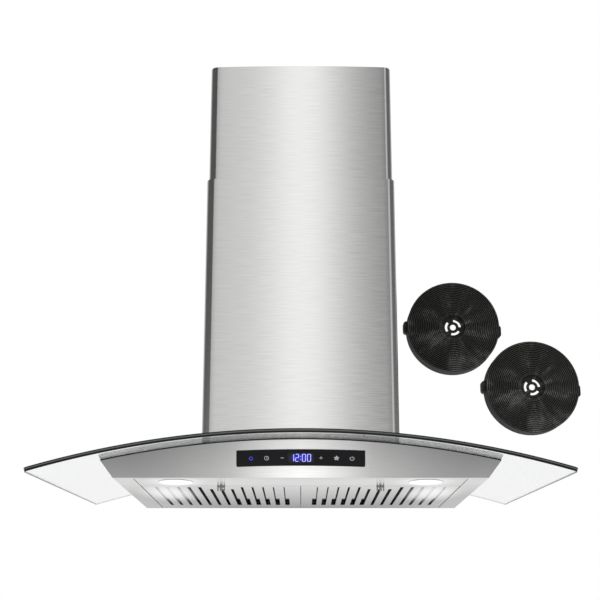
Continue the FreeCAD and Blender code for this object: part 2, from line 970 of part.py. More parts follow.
def filter_case(middle, outward):
    left, right = middle - half_filter, middle + half_filter
    case = body()
    pad(case, "XY", 0, s.filter_sheet, rectangle(left, right, filter_front, -s.filter_rear))
    pad(
        case,
        "XY",
        0,
        s.filter_thick,
        rectangle(left, right, filter_front, -s.filter_rear),
        rectangle(
            left + s.filter_wall,
            right - s.filter_wall,
            filter_front + s.filter_wall,
            -s.filter_rear - s.filter_wall,
        ),
    )
    stop_half = s.latch_width / 2
    pad(
        case,
        "XY",
        0,
        latch_high,
        rectangle(middle - stop_half, middle + stop_half, stop_front, stop_front + s.stop_thick),
    )
    for way in (-1, 1):
        knuckle_middle = middle + way * s.knuckle_offset
        pad(
            case,
            "YZ",
            knuckle_middle - s.knuckle_length / 2,
            knuckle_middle + s.knuckle_length / 2,
            circles=[(-s.hinge_back, s.hinge_height, s.knuckle_radius)],
        )
    first_slot = pocket(
        case,
        "XY",
        -s.overrun,
        s.filter_sheet,
        slot_outline(middle - slot_row / 2, outward),
    )
    row_of(case, first_slot, SLOT_COUNT, slot_row)
    for start in (middle - slot_row / 2, middle + slot_row / 2 - side_row):
        front_slot = pocket(
            case,
            "XY",
            -s.overrun,
            s.filter_sheet,
            slit_outline(start, outward, -s.slot_front, -s.latch_slot_front + s.seat_gap),
        )
        row_of(case, front_slot, side_slots, side_row)
    pocket(
        case,
        "XY",
        -s.overrun,
        s.filter_sheet,
        rectangle(middle - window_half, middle + window_half, latch_front - s.latch_play, window_rear),
    )
    pocket(
        case,
        "XZ",
        filter_front - s.overrun,
        filter_front + s.filter_wall,
        rectangle(
            middle - tongue_half - s.latch_play,
            middle + tongue_half + s.latch_play,
            tongue_low - s.latch_play,
            tongue_high + s.latch_play,
        ),
    )
    pocket(
        case,
        "YZ",
        left - s.overrun,
        right + s.overrun,
        circles=[(-s.hinge_back, s.hinge_height, s.hinge_rod_radius + s.running_gap)],
    )
    return case


def filter_baffles(middle):
    """Inverted channels over the slots, joined by a flat frame."""
    left = middle - half_filter + s.filter_wall + s.seat_gap
    right = middle + half_filter - s.filter_wall - s.seat_gap
    rear = baffle_rear + s.baffle_margin
    front = baffle_front
    low = s.baffle_top - s.filter_sheet
    baffles = body()
    pad(
        baffles,
        "XY",
        low,
        s.baffle_top,
        rectangle(left, right, front, rear),
        rectangle(
            left + s.baffle_margin,
            right - s.baffle_margin,
            front + s.baffle_margin,
            rear - s.baffle_margin,
        ),
    )
    start = middle - slot_row / 2
    roof_half = baffle_width / 2
    leg_low = low - s.baffle_leg
    channel = [
        (start - roof_half, leg_low),
        (start - roof_half + s.filter_sheet, leg_low),
        (start - roof_half + s.filter_sheet, low),
        (start + roof_half - s.filter_sheet, low),
        (start + roof_half - s.filter_sheet, leg_low),
        (start + roof_half, leg_low),
        (start + roof_half, s.baffle_top),
        (start - roof_half, s.baffle_top),
    ]
    trough = pad(baffles, "XZ", -s.latch_slot_front, rear, channel)
    row_of(baffles, trough, SLOT_COUNT, slot_row)
    return baffles


def filter_latch(middle):
    """A slider with a tongue in front and a two-hump finger grip below."""
    half = s.latch_width / 2
    latch = body()
    pad(latch, "XY", latch_low, latch_high, rectangle(middle - half, middle + half, latch_front, latch_rear))
    pad(
        latch,
        "XY",
        tongue_low,
        tongue_high,
        rectangle(middle - tongue_half, middle + tongue_half, latch_front - s.tongue_reach, latch_rear),
    )
    pad(
        latch,
        "XY",
        -s.latch_drop,
        latch_high,
        rectangle(middle - half, middle + half, latch_front, grip_rear),
    )
    hump = s.grip_gap / 2
    for way in (-1, 1):
        hump_middle = middle + way * half / 2
        pocket(
            latch,
            "XZ",
            latch_front - s.overrun,
            grip_rear,
            rectangle(hump_middle - hump / 2, hump_middle + hump / 2, -s.latch_drop - s.overrun, -hump),
        )
    return latch


spring_height = (latch_low + latch_high) / 2
for side, name in ((-1, "left"), (1, "right")):
    middle = side * latch_x
    node(f"filter_{name}_case", tilted(filter_case(middle, side)))
    node(f"filter_{name}_baffles", tilted(filter_baffles(middle)))
    node(f"filter_{name}_latch", tilted(filter_latch(middle)))
    spring = ring(
        "Y",
        (middle, spring_height),
        s.spring_radius,
        s.spring_radius - s.spring_wall,
        latch_rear + s.seat_gap,
        stop_front - s.seat_gap,
    )
    node(f"filter_{name}_spring", tilted(spring))

bracket_start = filter_opening + s.bracket_gap
rod_end = bracket_start + s.bracket_thick
hinge_spot = (-s.hinge_back, s.hinge_height)
node("hinge_rod", tilted(rod("X", hinge_spot, s.hinge_rod_radius, -rod_end, rod_end)))
brackets = []
for side in (-1, 1):
    near, far = side * bracket_start, side * rod_end
    low_x, high_x = (near, far) if side > 0 else (far, near)
    plate = box(
        (low_x, -s.hinge_back - s.bracket_reach, s.sheet),
        (high_x, -s.hinge_back + s.bracket_reach, s.hinge_height + s.bracket_reach),
    )
    bore = rod(
        "X",
        hinge_spot,
        s.hinge_rod_radius + s.running_gap,
        low_x - s.overrun,
        high_x + s.overrun,
    )
    brackets.append(cut(plate, bore))
node("hinge_brackets", tilted(group(*brackets)))

# Blower box on the wall, its bolts and the clips that hold the glass

blower_low = arch_height(blower_half, deck_top) - s.overrun
blower_outer = box((-blower_half, -s.blower_depth, blower_low), (blower_half, 0, box_top))
blower_inner = box(
    (-blower_half + s.blower_sheet, -s.blower_depth + s.blower_sheet, blower_low - s.overrun),
    (blower_half - s.blower_sheet, -s.blower_sheet, box_top - s.blower_sheet),
)
collar_spot = (0, -s.collar_back)
collar_bore = s.collar_radius - s.collar_wall
outlet_hole = rod("Z", collar_spot, collar_bore, box_top - s.overrun, box_top + s.overrun)
cable_riser_x = blower_half - s.cable_riser_inset
cable_spot = (cable_riser_x, -s.cable_riser_back)
cable_hole = rod("Z", cable_spot, s.cable_hole_radius, box_top - s.overrun, box_top + s.overrun)
wall_holes = [
    rod(
        "Y",
        (across * s.wall_bolt_x / 2, up * s.wall_bolt_z / 2),
        s.wall_bolt_radius,
        -s.overrun,
        s.overrun,
    )
    for across in (-1, 1)
    for up in (-1, 1)
]
blower_walls = cut(blower_outer, blower_inner, outlet_hole, cable_hole, arch_bar(deck_top), *wall_holes)
flange_plan = plan_body(
    deck_top,
    s.blower_sheet,
    [
        rectangle(-blower_half, blower_half, -s.blower_depth, 0),
        deck_opening,
    ],
)
blower_flange = cut(
    arch_plate(deck_top, deck_top + s.blower_sheet, flange_plan),
    *flange_bores(),
)
node("blower_box", fuse(blower_walls, blower_flange))

bolt_solids = []
head_high = arch_height(flange_bolt_x, deck_under) - s.slope_allowance
nut_low = arch_height(flange_bolt_x, deck_top + s.blower_sheet) + s.slope_allowance
for spot in flange_spots:
    head = rod("Z", spot, s.flange_head_radius, head_high - s.flange_head, head_high)
    shank = rod("Z", spot, s.flange_bolt_radius, head_high - s.flange_head / 2, nut_low + s.flange_head)
    nut = rod("Z", spot, s.flange_head_radius, nut_low, nut_low + s.flange_head)
    bolt_solids.append(fuse(head, shank, nut))
node("flange_bolts", group(*bolt_solids))

clips = []
clip_low = arch_height(blower_half, s.glass_thick) + s.seat_gap
for side in (-1, 1):
    for back in (s.glass_clip_rear, s.glass_clip_front):
        wall_x = side * blower_half
        foot_x = side * (blower_half + s.glass_clip_reach)
        leg_x = side * (blower_half + s.glass_clip_thick)
        low_y, high_y = -back - s.glass_clip_width / 2, -back + s.glass_clip_width / 2
        foot_low, foot_high = (wall_x, foot_x) if side > 0 else (foot_x, wall_x)
        leg_low_x, leg_high_x = (wall_x, leg_x) if side > 0 else (leg_x, wall_x)
        foot = box((foot_low, low_y, clip_low), (foot_high, high_y, clip_low + s.glass_clip_thick))
        leg = box((leg_low_x, low_y, clip_low), (leg_high_x, high_y, clip_low + s.glass_clip_rise))
        clips.append(fuse(foot, leg))
node("glass_clips", group(*clips))

# Fan scroll in two halves


def scroll_outline(inset, top):
    """The spiral wall of the fan, from its neck down the front and round to the back, in Y and Z."""
    first = s.scroll_radius - inset
    second = first + s.scroll_step
    third = second + s.scroll_step
    neck = s.scroll_neck_front - inset
    back = first + 3 * s.scroll_step
    corners = [
        (-neck, root(first * first - neck * neck)),
        (-first, 0),
        (s.scroll_step, -second),
        (back, s.scroll_step),
        (back, top),
        (-neck, top),
    ]
    return corners, {0: first, 1: second, 2: third}


scroll_top = s.scroll_neck_top - s.fan_rise
for side, name in ((-1, "left"), (1, "right")):
    half = body()
    outer, outer_arcs = scroll_outline(0, scroll_top)
    inner, inner_arcs = scroll_outline(s.scroll_wall, scroll_top + s.overrun)
    side_wall = s.scroll_half - s.scroll_wall
    if side > 0:
        pad(half, "YZ", 0, s.scroll_half, outer, arcs={0: outer_arcs})
        pocket(half, "YZ", -s.overrun, side_wall, inner, arcs={0: inner_arcs})
        pocket(half, "YZ", 0, s.scroll_half + s.overrun, circles=[(0, 0, s.inlet_hole_radius)])
    else:
        pad(half, "YZ", -s.scroll_half, 0, outer, arcs={0: outer_arcs})
        pocket(half, "YZ", -side_wall, s.overrun, inner, arcs={0: inner_arcs})
        pocket(half, "YZ", -s.scroll_half - s.overrun, 0, circles=[(0, 0, s.inlet_hole_radius)])
    node(f"scroll_{name}", place(half, 0, -s.fan_back, fan_level))


# Inlet rings with the bayonet hubs that carry the charcoal filters

plate_start = s.scroll_half
plate_end = plate_start + s.scroll_wall
tube_end = plate_end + s.inlet_tube
tube_outer = s.inlet_bore_radius + s.scroll_wall


def mirror_span(side, near, far):
    return (near, far) if side > 0 else (-far, -near)


def inlet_ring(side):
    ring_body = body()
    low, high = mirror_span(side, plate_start, plate_end)
    pad(ring_body, "YZ", low, high, circles=[(0, 0, s.inlet_ring_radius), (0, 0, s.inlet_bore_radius)])
    low, high = mirror_span(side, plate_start, tube_end)
    pad(ring_body, "YZ", low, high, circles=[(0, 0, tube_outer), (0, 0, s.inlet_bore_radius)])
    low, high = mirror_span(side, tube_end - s.lug_thick, tube_end)
    lug = pad(
        ring_body,
        "YZ",
        low,
        high,
        rectangle(
            -s.lug_width / 2,
            s.lug_width / 2,
            s.inlet_bore_radius + s.scroll_wall / 2,
            tube_outer + s.lug_reach,
        ),
    )
    circle_of(ring_body, lug, LUG_COUNT)
    return ring_body


def arm_outline(grow):
    """One of the motor bracket's arms, pointing down."""
    half = s.arm_width / 2 + grow
    return rectangle(-half, half, -s.inlet_ring_radius + s.lug_reach - grow, -s.hub_radius)


left_ring = inlet_ring(-1)
node("inlet_ring_left", place(left_ring, 0, -s.fan_back, fan_level))

arm_end = plate_end + s.arm_thick
right_ring = inlet_ring(1)
arm_slot = pocket(right_ring, "YZ", plate_end, arm_end + s.seat_gap, arm_outline(s.seat_gap))
circle_of(right_ring, arm_slot, ARM_COUNT)
node("inlet_ring_right", place(right_ring, 0, -s.fan_back, fan_level))

bracket = body()
pad(bracket, "YZ", plate_end, arm_end, circles=[(0, 0, s.motor_cap_radius)])
arm = pad(bracket, "YZ", plate_end, arm_end, arm_outline(0))
circle_of(bracket, arm, ARM_COUNT)
node("motor_bracket", place(bracket, 0, -s.fan_back, fan_level))

# Motor, rubber mounts, shaft and impeller

motor = body()
pad(motor, "YZ", s.motor_start, s.motor_end - s.motor_cap, circles=[(0, 0, s.motor_radius)])
pad(motor, "YZ", s.motor_start, s.motor_end, circles=[(0, 0, s.motor_cap_radius)])
pocket(
    motor,
    "YZ",
    s.motor_start - s.overrun,
    s.motor_end + s.overrun,
    circles=[(0, 0, s.shaft_radius + s.running_gap)],
)
node("motor", place(motor, 0, -s.fan_back, fan_level))

grommets = []
for number in range(ARM_COUNT):
    turn = math.radians(90 + 360 * number / ARM_COUNT)
    spot = (math.cos(turn) * s.grommet_ring, math.sin(turn) * s.grommet_ring)
    grommets.append(rod("X", spot, s.grommet_radius, s.motor_end, plate_end))
node("motor_mounts", place(group(*grommets), 0, -s.fan_back, fan_level))

shaft = rod("X", (-s.fan_back, fan_level), s.shaft_radius, -s.shaft_left, s.motor_end)
node("motor_shaft", shaft)

impeller = body()
pad(impeller, "YZ", -s.impeller_disc, 0, circles=[(0, 0, s.impeller_disc_radius)])
pad(impeller, "YZ", -s.hub_half - s.impeller_disc, s.hub_half, circles=[(0, 0, s.hub_radius)])
blade = pad(
    impeller,
    "YZ",
    -s.impeller_half,
    s.impeller_half,
    rectangle(
        s.blade_radius - s.blade_depth,
        s.blade_radius,
        -s.blade_thick / 2,
        s.blade_thick / 2,
    ),
)
circle_of(impeller, blade, BLADE_COUNT)
for side in (-1, 1):
    low, high = mirror_span(side, s.impeller_half - s.impeller_disc, s.impeller_half)
    pad(
        impeller,
        "YZ",
        low,
        high,
        circles=[(0, 0, s.blade_radius), (0, 0, s.blade_radius - s.impeller_rim)],
    )
pocket(
    impeller,
    "YZ",
    -s.impeller_half - s.overrun,
    s.impeller_half + s.overrun,
    circles=[(0, 0, s.shaft_radius)],
)
node("impeller", place(impeller, 0, -s.fan_back, fan_level))

capacitor_x = -blower_half + s.blower_sheet + s.seat_gap + s.capacitor_radius
capacitor_top = box_top - s.blower_sheet - s.seat_gap
node(
    "run_capacitor",
    rod(
        "Z",
        (capacitor_x, -s.capacitor_back),
        s.capacitor_radius,
        capacitor_top - s.capacitor_length,
        capacitor_top,
    ),
)

# Outlet adapter between the scroll's neck and the collar

adapter_low = crown + s.scroll_neck_top - 2 * s.scroll_wall
neck_front = -s.fan_back - s.scroll_neck_front
neck_back = -s.fan_back + s.scroll_radius + 3 * s.scroll_step
adapter = body()
adapter_outline = rectangle(-s.adapter_half_width, s.adapter_half_width, -s.adapter_front, -s.adapter_rear)
pad(
    adapter,
    "XY",
    adapter_low,
    adapter_low + s.scroll_wall,
    adapter_outline,
    rectangle(
        -s.scroll_half - s.seat_gap,
        s.scroll_half + s.seat_gap,
        neck_front - s.seat_gap,
        neck_back + s.seat_gap,
    ),
)
pad(
    adapter,
    "XY",
    adapter_low,
    box_top - s.blower_sheet,
    adapter_outline,
    rectangle(
        -s.adapter_half_width + s.scroll_wall,
        s.adapter_half_width - s.scroll_wall,
        -s.adapter_front + s.scroll_wall,
        -s.adapter_rear - s.scroll_wall,
    ),
)
node("outlet_adapter", adapter)

# Duct collar with two damper flaps on pins

collar = body()
pad(
    collar,
    "XY",
    0,
    s.collar_flange,
    circles=[(0, 0, s.collar_flange_radius), (0, 0, collar_bore)],
)
pad(
    collar,
    "XY",
    0,
    s.collar_rise,
    circles=[(0, 0, s.collar_radius), (0, 0, collar_bore)],
)
node("duct_collar", place(collar, 0, -s.collar_back, box_top))

screw_ring = (s.collar_radius + s.collar_flange_radius) / 2
screw_share = math.sqrt(0.5)
collar_screws = [
    rod(
        "Z",
        (x * screw_share * screw_ring, -s.collar_back + y * screw_share * screw_ring),
        s.screw_head_radius,
        box_top + s.collar_flange,
        box_top + s.collar_flange + s.screw_head,
    )
    for x in (-1, 1)
    for y in (-1, 1)
]
node("collar_screws", group(*collar_screws))

damper_level = box_top + s.damper_height
pins = []
for side, name in ((-1, "front"), (1, "rear")):
    pin_y = -s.collar_back + side * s.damper_pin_offset
    near = pin_y + side * (s.damper_pin_radius + s.damper_knuckle_radius) / 2
    far = -s.collar_back + side * (s.damper_radius + s.overrun)
    low_y, high_y = (near, far) if side > 0 else (far, near)
    disc = rod(
        "Z",
        collar_spot,
        s.damper_radius,
        damper_level - s.damper_thick / 2,
        damper_level + s.damper_thick / 2,
    )
    half_plane = box(
        (-s.collar_radius, low_y, damper_level - s.overrun),
        (s.collar_radius, high_y, damper_level + s.overrun),
    )
    knuckles = []
    for way in (-1, 1):
        start = way * s.damper_knuckle_offset - s.damper_knuckle_length / 2
        knuckles.append(
            rod(
                "X",
                (pin_y, damper_level),
                s.damper_knuckle_radius,
                start,
                start + s.damper_knuckle_length,
            )
        )
    bore = rod(
        "X",
        (pin_y, damper_level),
        s.damper_pin_radius + s.running_gap,
        -s.collar_radius,
        s.collar_radius,
    )
    node(f"damper_{name}", cut(fuse(common(disc, half_plane), *knuckles), bore))
    pin_half = root(collar_bore * collar_bore - s.damper_pin_offset * s.damper_pin_offset) - s.seat_gap
    pins.append(rod("X", (pin_y, damper_level), s.damper_pin_radius, -pin_half, pin_half))
node("damper_pins", group(*pins))

# Mains box on top of the blower box, lamp driver and the internal cable

mains_right = blower_half - s.mains_inset
mains_left = mains_right - s.mains_width
mains_low = box_top + s.seat_gap
mains_high = mains_low + s.mains_height
mains_outer = box((mains_left, -s.mains_front, mains_low), (mains_right, -s.mains_rear, mains_high))
mains_inner = box(
    (mains_left + s.mains_wall, -s.mains_front + s.mains_wall, mains_low + s.mains_wall),
    (mains_right - s.mains_wall, -s.mains_rear - s.mains_wall, mains_high + s.overrun),
)
node("mains_box", cut(mains_outer, mains_inner))
gland_spot = (mains_left + s.mains_width / 2, -(s.mains_front + s.mains_rear) / 2)
lid = box((mains_left, -s.mains_front, mains_high), (mains_right, -s.mains_rear, mains_high + s.mains_lid))
lid_hole = rod("Z", gland_spot, s.gland_bore_radius, mains_high - s.overrun, mains_high + s.overrun)
node("mains_lid", cut(lid, lid_hole))
gland_low = mains_high + s.mains_lid
gland_foot = ring(
    "Z", gland_spot, s.gland_foot_radius, s.gland_bore_radius, gland_low, gland_low + s.gland_foot
)
gland_neck = ring(
    "Z", gland_spot, s.gland_radius, s.gland_bore_radius, gland_low, gland_low + s.gland_height
)
node("cable_gland", fuse(gland_foot, gland_neck))
terminal_low = mains_low + s.mains_wall
terminals = box(
    (mains_left + s.mains_width / 4, gland_spot[1] - s.mains_width / 2, terminal_low),
    (mains_right - s.mains_width / 4, gland_spot[1] + s.mains_width / 2, terminal_low + s.mains_height / 3),
)
node("terminal_block", terminals)

driver_low = s.sheet + s.seat_gap
driver_middle = -(s.light_front + s.light_rear) / 2
driver = box(
    (-s.driver_length / 2, driver_middle - s.driver_width / 2, driver_low),
    (s.driver_length / 2, driver_middle + s.driver_width / 2, driver_low + s.driver_height),
)
node("lamp_driver", tilted(driver))


def bent_tube(points, radius, bend):
    """A tube along straight runs joined by round bends."""
    edges = []
    here = points[0]
    for corner, following in zip(points[1:-1], points[2:]):
        back = (here - corner).normalize()
        ahead = (following - corner).normalize()
        half_turn = back.getAngle(ahead) / 2
        setback = bend / math.tan(half_turn)
        start, end = corner + back * setback, corner + ahead * setback
        centre = corner + (back + ahead).normalize() * (bend / math.sin(half_turn))
        middle = centre + (corner - centre).normalize() * bend
        edges.append(Part.LineSegment(here, start).toShape())
        edges.append(Part.Arc(start, middle, end).toShape())
        here = end
    edges.append(Part.LineSegment(here, points[-1]).toShape())
    way = (points[1] - points[0]).normalize()
    profile = Part.Wire(Part.Circle(points[0], way, radius).toShape())
    return Part.Wire(edges).makePipeShell([profile], True, False)


def channel_level(across):
    """Halfway between the fascia and the deck at a distance from the centre, where the cable runs."""
    fascia_level = (front_level + arch_height(across, deck_top)) / 2
    return (fascia_level + s.fascia_thick + arch_height(across, deck_under)) / 2


cable_y = -(s.body_front_low + s.body_front_high) / 2
tray_end = half_control + s.tray_rim + s.seat_gap
channel_x = half_body - s.cable_channel
cable_turn_x = (tray_end + channel_x) / 2
cable_start_z = crown - drop_front / 2 + s.cable_radius
cable_rear_z = (underside_level(s.cable_riser_back, s.sheet) + arch_height(channel_x, deck_under)) / 2
route = [
    (tray_end, cable_y, cable_start_z),
    (cable_turn_x, cable_y, channel_level(cable_turn_x)),
    (channel_x, cable_y, channel_level(channel_x)),
    (channel_x, -s.cable_riser_back, cable_rear_z),
    (cable_riser_x, -s.cable_riser_back, cable_rear_z),
    (cable_riser_x, -s.cable_riser_back, mains_low),
]
cable = doc.addObject("Part::Feature", "cable")
cable.Shape = bent_tube(
    [Vector(*[size(value).value for value in spot]) for spot in route],
    s.cable_radius.value,
    s.cable_bend.value,
)
node("internal_cable", cable)

# Chimney: a lower cover that stands on the glass and an upper one that slides inside it


def cover(half, depth, back, corner, low, high, turn_in):
    """A bowed three-sided cover with narrow returns at the back: block, hollow and the mouth between."""
    bow = s.chimney_bow
    radius = (half * half + bow * bow) / (2 * bow)
    owner = body()
    pad(
        owner,
        "XY",
        low,
        high,
        [(-half, -depth), (half, -depth), (half, -back), (-half, -back)],
        arcs={0: {0: radius}},
    )
    round_edges(owner, corner, lambda p: p.y < -depth.value / 2)
    inner_half = half - s.sheet
    inner_depth = depth - s.sheet
    inner_radius = radius - s.sheet
    hollow = body()
    pad(
        hollow,
        "XY",
        low - s.overrun,
        high + s.overrun,
        [
            (-inner_half, -inner_depth),
            (inner_half, -inner_depth),
            (inner_half, -back - s.sheet),
            (-inner_half, -back - s.sheet),
        ],
        arcs={0: {0: inner_radius}},
    )
    round_edges(hollow, corner - s.sheet, lambda p: p.y < -depth.value / 2)
    mouth_half = half - turn_in
    mouth = box(
        (-mouth_half, -back - s.sheet - s.overrun, low - s.overrun),
        (mouth_half, s.overrun, high + s.overrun),
    )
    return owner, hollow, mouth


lower_half = blower_half + s.chimney_side_room
lower_depth = s.blower_depth + s.chimney_front_room
lower_top = crown + s.chimney_lower_top
upper_top = crown + s.chimney_upper_top
upper_low = upper_top - s.chimney_upper_length
cover_low = arch_height(lower_half, 0)
lower_parts = cover(
    lower_half,
    lower_depth,
    size(0),
    s.chimney_corner,
    cover_low,
    lower_top,
    s.chimney_return,
)
side_screw_y = -(s.side_bracket_front + s.side_bracket_rear) / 2
side_screw_z = crown + s.side_bracket_rise + s.side_bracket_height / 2
side_holes = rod(
    "X",
    (side_screw_y, side_screw_z),
    s.screw_radius + s.bolt_gap,
    -lower_half - s.overrun,
    lower_half + s.overrun,
)
node(
    "lower_chimney",
    cut(lower_parts[0], lower_parts[1], lower_parts[2], arch_bar(s.glass_thick + s.seat_gap), side_holes),
)

upper_half = lower_half - s.sheet - s.chimney_slide_gap
upper_depth = lower_depth - s.sheet - s.chimney_slide_gap
upper_parts = cover(
    upper_half,
    upper_depth,
    s.upper_back,
    s.chimney_corner - s.sheet,
    upper_low,
    upper_top,
    s.upper_return,
)
top_bracket_high = upper_top - s.top_bracket_drop + s.top_bracket_height
top_bracket_low = upper_top - s.top_bracket_drop
top_level = (top_bracket_low + top_bracket_high) / 2
top_screw_y = -s.top_bracket_reach / 2
top_holes = rod(
    "X",
    (top_screw_y, top_level),
    s.screw_radius + s.bolt_gap,
    -upper_half - s.overrun,
    upper_half + s.overrun,
)
node("upper_chimney", cut(upper_parts[0], upper_parts[1], upper_parts[2], top_holes))

brackets = []
screws = []
for side in (-1, 1):
    low_x, high_x = mirror_span(side, blower_half, lower_half - s.sheet - s.seat_gap)
    arm_low, arm_high = mirror_span(
        side, lower_half - s.sheet - s.seat_gap - s.bracket_thick, lower_half - s.sheet - s.seat_gap
    )
    bottom = crown + s.side_bracket_rise
    foot = box(
        (low_x, -s.side_bracket_front, bottom),
        (high_x, -s.side_bracket_rear, bottom + s.bracket_thick),
    )
    ear = box(
        (arm_low, -s.side_bracket_front, bottom),
        (arm_high, -s.side_bracket_rear, bottom + s.side_bracket_height),
    )
    hole = rod(
        "X",
        (side_screw_y, side_screw_z),
        s.screw_radius + s.bolt_gap,
        arm_low - s.overrun,
        arm_high + s.overrun,
    )
    brackets.append(cut(fuse(foot, ear), hole))
    head_low, head_high_x = mirror_span(side, lower_half, lower_half + s.screw_head)
    shank_low, shank_high = mirror_span(side, lower_half - s.overrun, lower_half + s.screw_head / 2)
    head = rod("X", (side_screw_y, side_screw_z), s.screw_head_radius, head_low, head_high_x)
    shank = rod("X", (side_screw_y, side_screw_z), s.screw_radius, shank_low, shank_high)
    screws.append(fuse(head, shank))
node("chimney_brackets", group(*brackets))
node("chimney_screws", group(*screws))

bracket_half = upper_half - s.sheet - s.seat_gap
back_half = lower_half - s.chimney_return - s.seat_gap
step_back = s.upper_back + s.sheet + s.seat_gap
back_plate = box((-back_half, -step_back, top_bracket_low), (back_half, 0, top_bracket_high))
step_plate = box(
    (-bracket_half, -step_back - s.top_bracket_thick, top_bracket_low),
    (bracket_half, -step_back, top_bracket_high),
)
bracket_parts = [back_plate, step_plate]
for side in (-1, 1):
    low_x, high_x = mirror_span(side, bracket_half - s.top_bracket_thick, bracket_half)
    bracket_parts.append(
        box((low_x, -s.top_bracket_reach, top_bracket_low), (high_x, -step_back, top_bracket_high))
    )
top_bores = [
    rod(
        "Y",
        (side * s.top_bolt_spacing / 2, top_level),
        s.top_bolt_radius,
        -s.top_bracket_reach,
        s.overrun,
    )
    for side in (-1, 1)
]
side_bore = rod(
    "X",
    (top_screw_y, top_level),
    s.screw_radius + s.bolt_gap,
    -upper_half - s.overrun,
    upper_half + s.overrun,
)
node("ceiling_bracket", cut(fuse(*bracket_parts), *top_bores, side_bore))
ceiling_screws = []
for side in (-1, 1):
    head_low, head_high_x = mirror_span(side, upper_half, upper_half + s.screw_head)
    shank_low, shank_high = mirror_span(side, upper_half - s.overrun, upper_half + s.screw_head / 2)
    head = rod("X", (top_screw_y, top_level), s.screw_head_radius, head_low, head_high_x)
    shank = rod("X", (top_screw_y, top_level), s.screw_radius, shank_low, shank_high)
    ceiling_screws.append(fuse(head, shank))
node("ceiling_screws", group(*ceiling_screws))

# Charcoal filters


def hub_plate(spot):
    """The closed front of the hub, with an eye and three curved slots round it."""
    low, high = -s.charcoal_thick, -s.charcoal_thick + s.charcoal_wall
    plate = rod("Y", spot, s.charcoal_hub_radius - s.charcoal_wall / 2, low, high)
    eye = rod("Y", spot, s.charcoal_eye_radius, low - s.overrun, high + s.overrun)
    inner = s.charcoal_slot_radius - s.charcoal_slot_width
    slots = ring("Y", spot, s.charcoal_slot_radius, inner, low - s.overrun, high + s.overrun)
    bridges = []
    for number in range(EYE_SLOTS):
        bridge = box(
            (-s.charcoal_slot_bridge / 2, low - 2 * s.overrun, 0),
            (s.charcoal_slot_bridge / 2, high + 2 * s.overrun, s.charcoal_hub_radius),
        )
        turn = 360 * number / EYE_SLOTS
        bridges.append(turned(bridge, spot[0], 0, spot[1], Vector(0, 1, 0), turn))
    return cut(plate, eye, cut(slots, *bridges))


def charcoal_case(spot):
    """A round open-work case: outer wall, hub, ribbed front, plain back and two lugs."""
    centre_x, centre_z = spot
    thick = s.charcoal_thick
    wall = s.charcoal_wall
    parts = [
        ring("Y", spot, s.charcoal_radius, s.charcoal_radius - wall, -thick, 0),
        ring("Y", spot, s.charcoal_hub_radius, s.charcoal_hub_radius - wall, -thick, 0),
        ring("Y", spot, s.charcoal_radius, s.charcoal_hub_radius - wall, -wall, 0),
        hub_plate(spot),
    ]
    pitch = s.charcoal_rib + s.charcoal_rib_gap
    for number in range(RIB_COUNT):
        inner = s.charcoal_hub_radius + s.charcoal_rib_gap + number * pitch
        parts.append(ring("Y", spot, inner + s.charcoal_rib, inner, -thick, -thick + wall))
    for number in range(SPOKE_COUNT):
        spoke = box(
            (-s.charcoal_spoke / 2, -thick, s.charcoal_hub_radius - wall),
            (s.charcoal_spoke / 2, -thick + wall, s.charcoal_radius - wall / 2),
        )
        parts.append(turned(spoke, centre_x, 0, centre_z, Vector(0, 1, 0), 360 * number / SPOKE_COUNT))
    for side in (-1, 1):
        low_x, high_x = mirror_span(side, s.charcoal_radius - wall / 2, s.charcoal_radius + s.charcoal_lug)
        parts.append(
            box(
                (centre_x + low_x, -thick / 2, centre_z - s.charcoal_lug_width / 2),
                (centre_x + high_x, 0, centre_z + s.charcoal_lug_width / 2),
            )
        )
    return fuse(*parts)


for name, spot in (
    ("upper", (s.charcoal_upper_x, crown + s.charcoal_upper_rise)),
    ("lower", (s.charcoal_lower_x, crown + s.charcoal_lower_rise)),
):
    node(f"charcoal_{name}_case", charcoal_case(spot))
    media = ring(
        "Y",
        spot,
        s.charcoal_radius - s.charcoal_wall - s.seat_gap,
        s.charcoal_hub_radius + s.seat_gap,
        -s.charcoal_thick + s.charcoal_wall + s.seat_gap,
        -s.charcoal_wall - s.seat_gap,
    )
    node(f"charcoal_{name}_media", media)

# Checks, then one file for each piece

doc.recompute()
faults = []
for thing in doc.Objects:
    if {"Invalid", "Error"} & set(thing.State):
        faults.append(f"{thing.Name} ({thing.Label}) did not build")
    elif thing.TypeId == "PartDesign::Pocket" and thing.Shape.Volume >= thing.BaseFeature.Shape.Volume:
        faults.append(f"{thing.Name} removed nothing")
if faults:
    raise RuntimeError("; ".join(faults))

names = [thing.Label for thing in nodes]
if len(names) != len(set(names)):
    raise RuntimeError("two pieces share a name")

os.makedirs("parts", exist_ok=True)
for thing in nodes:
    shape = thing.Shape
    if shape.isNull() or not shape.isValid() or not shape.Solids:
        raise RuntimeError(f"{thing.Label} has no valid shape")
    shape.exportStep(f"parts/{thing.Label}.step")
print(len(nodes), "pieces written")
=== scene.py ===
import json
import math

import bmesh
import bpy
from mathutils import Matrix, Vector


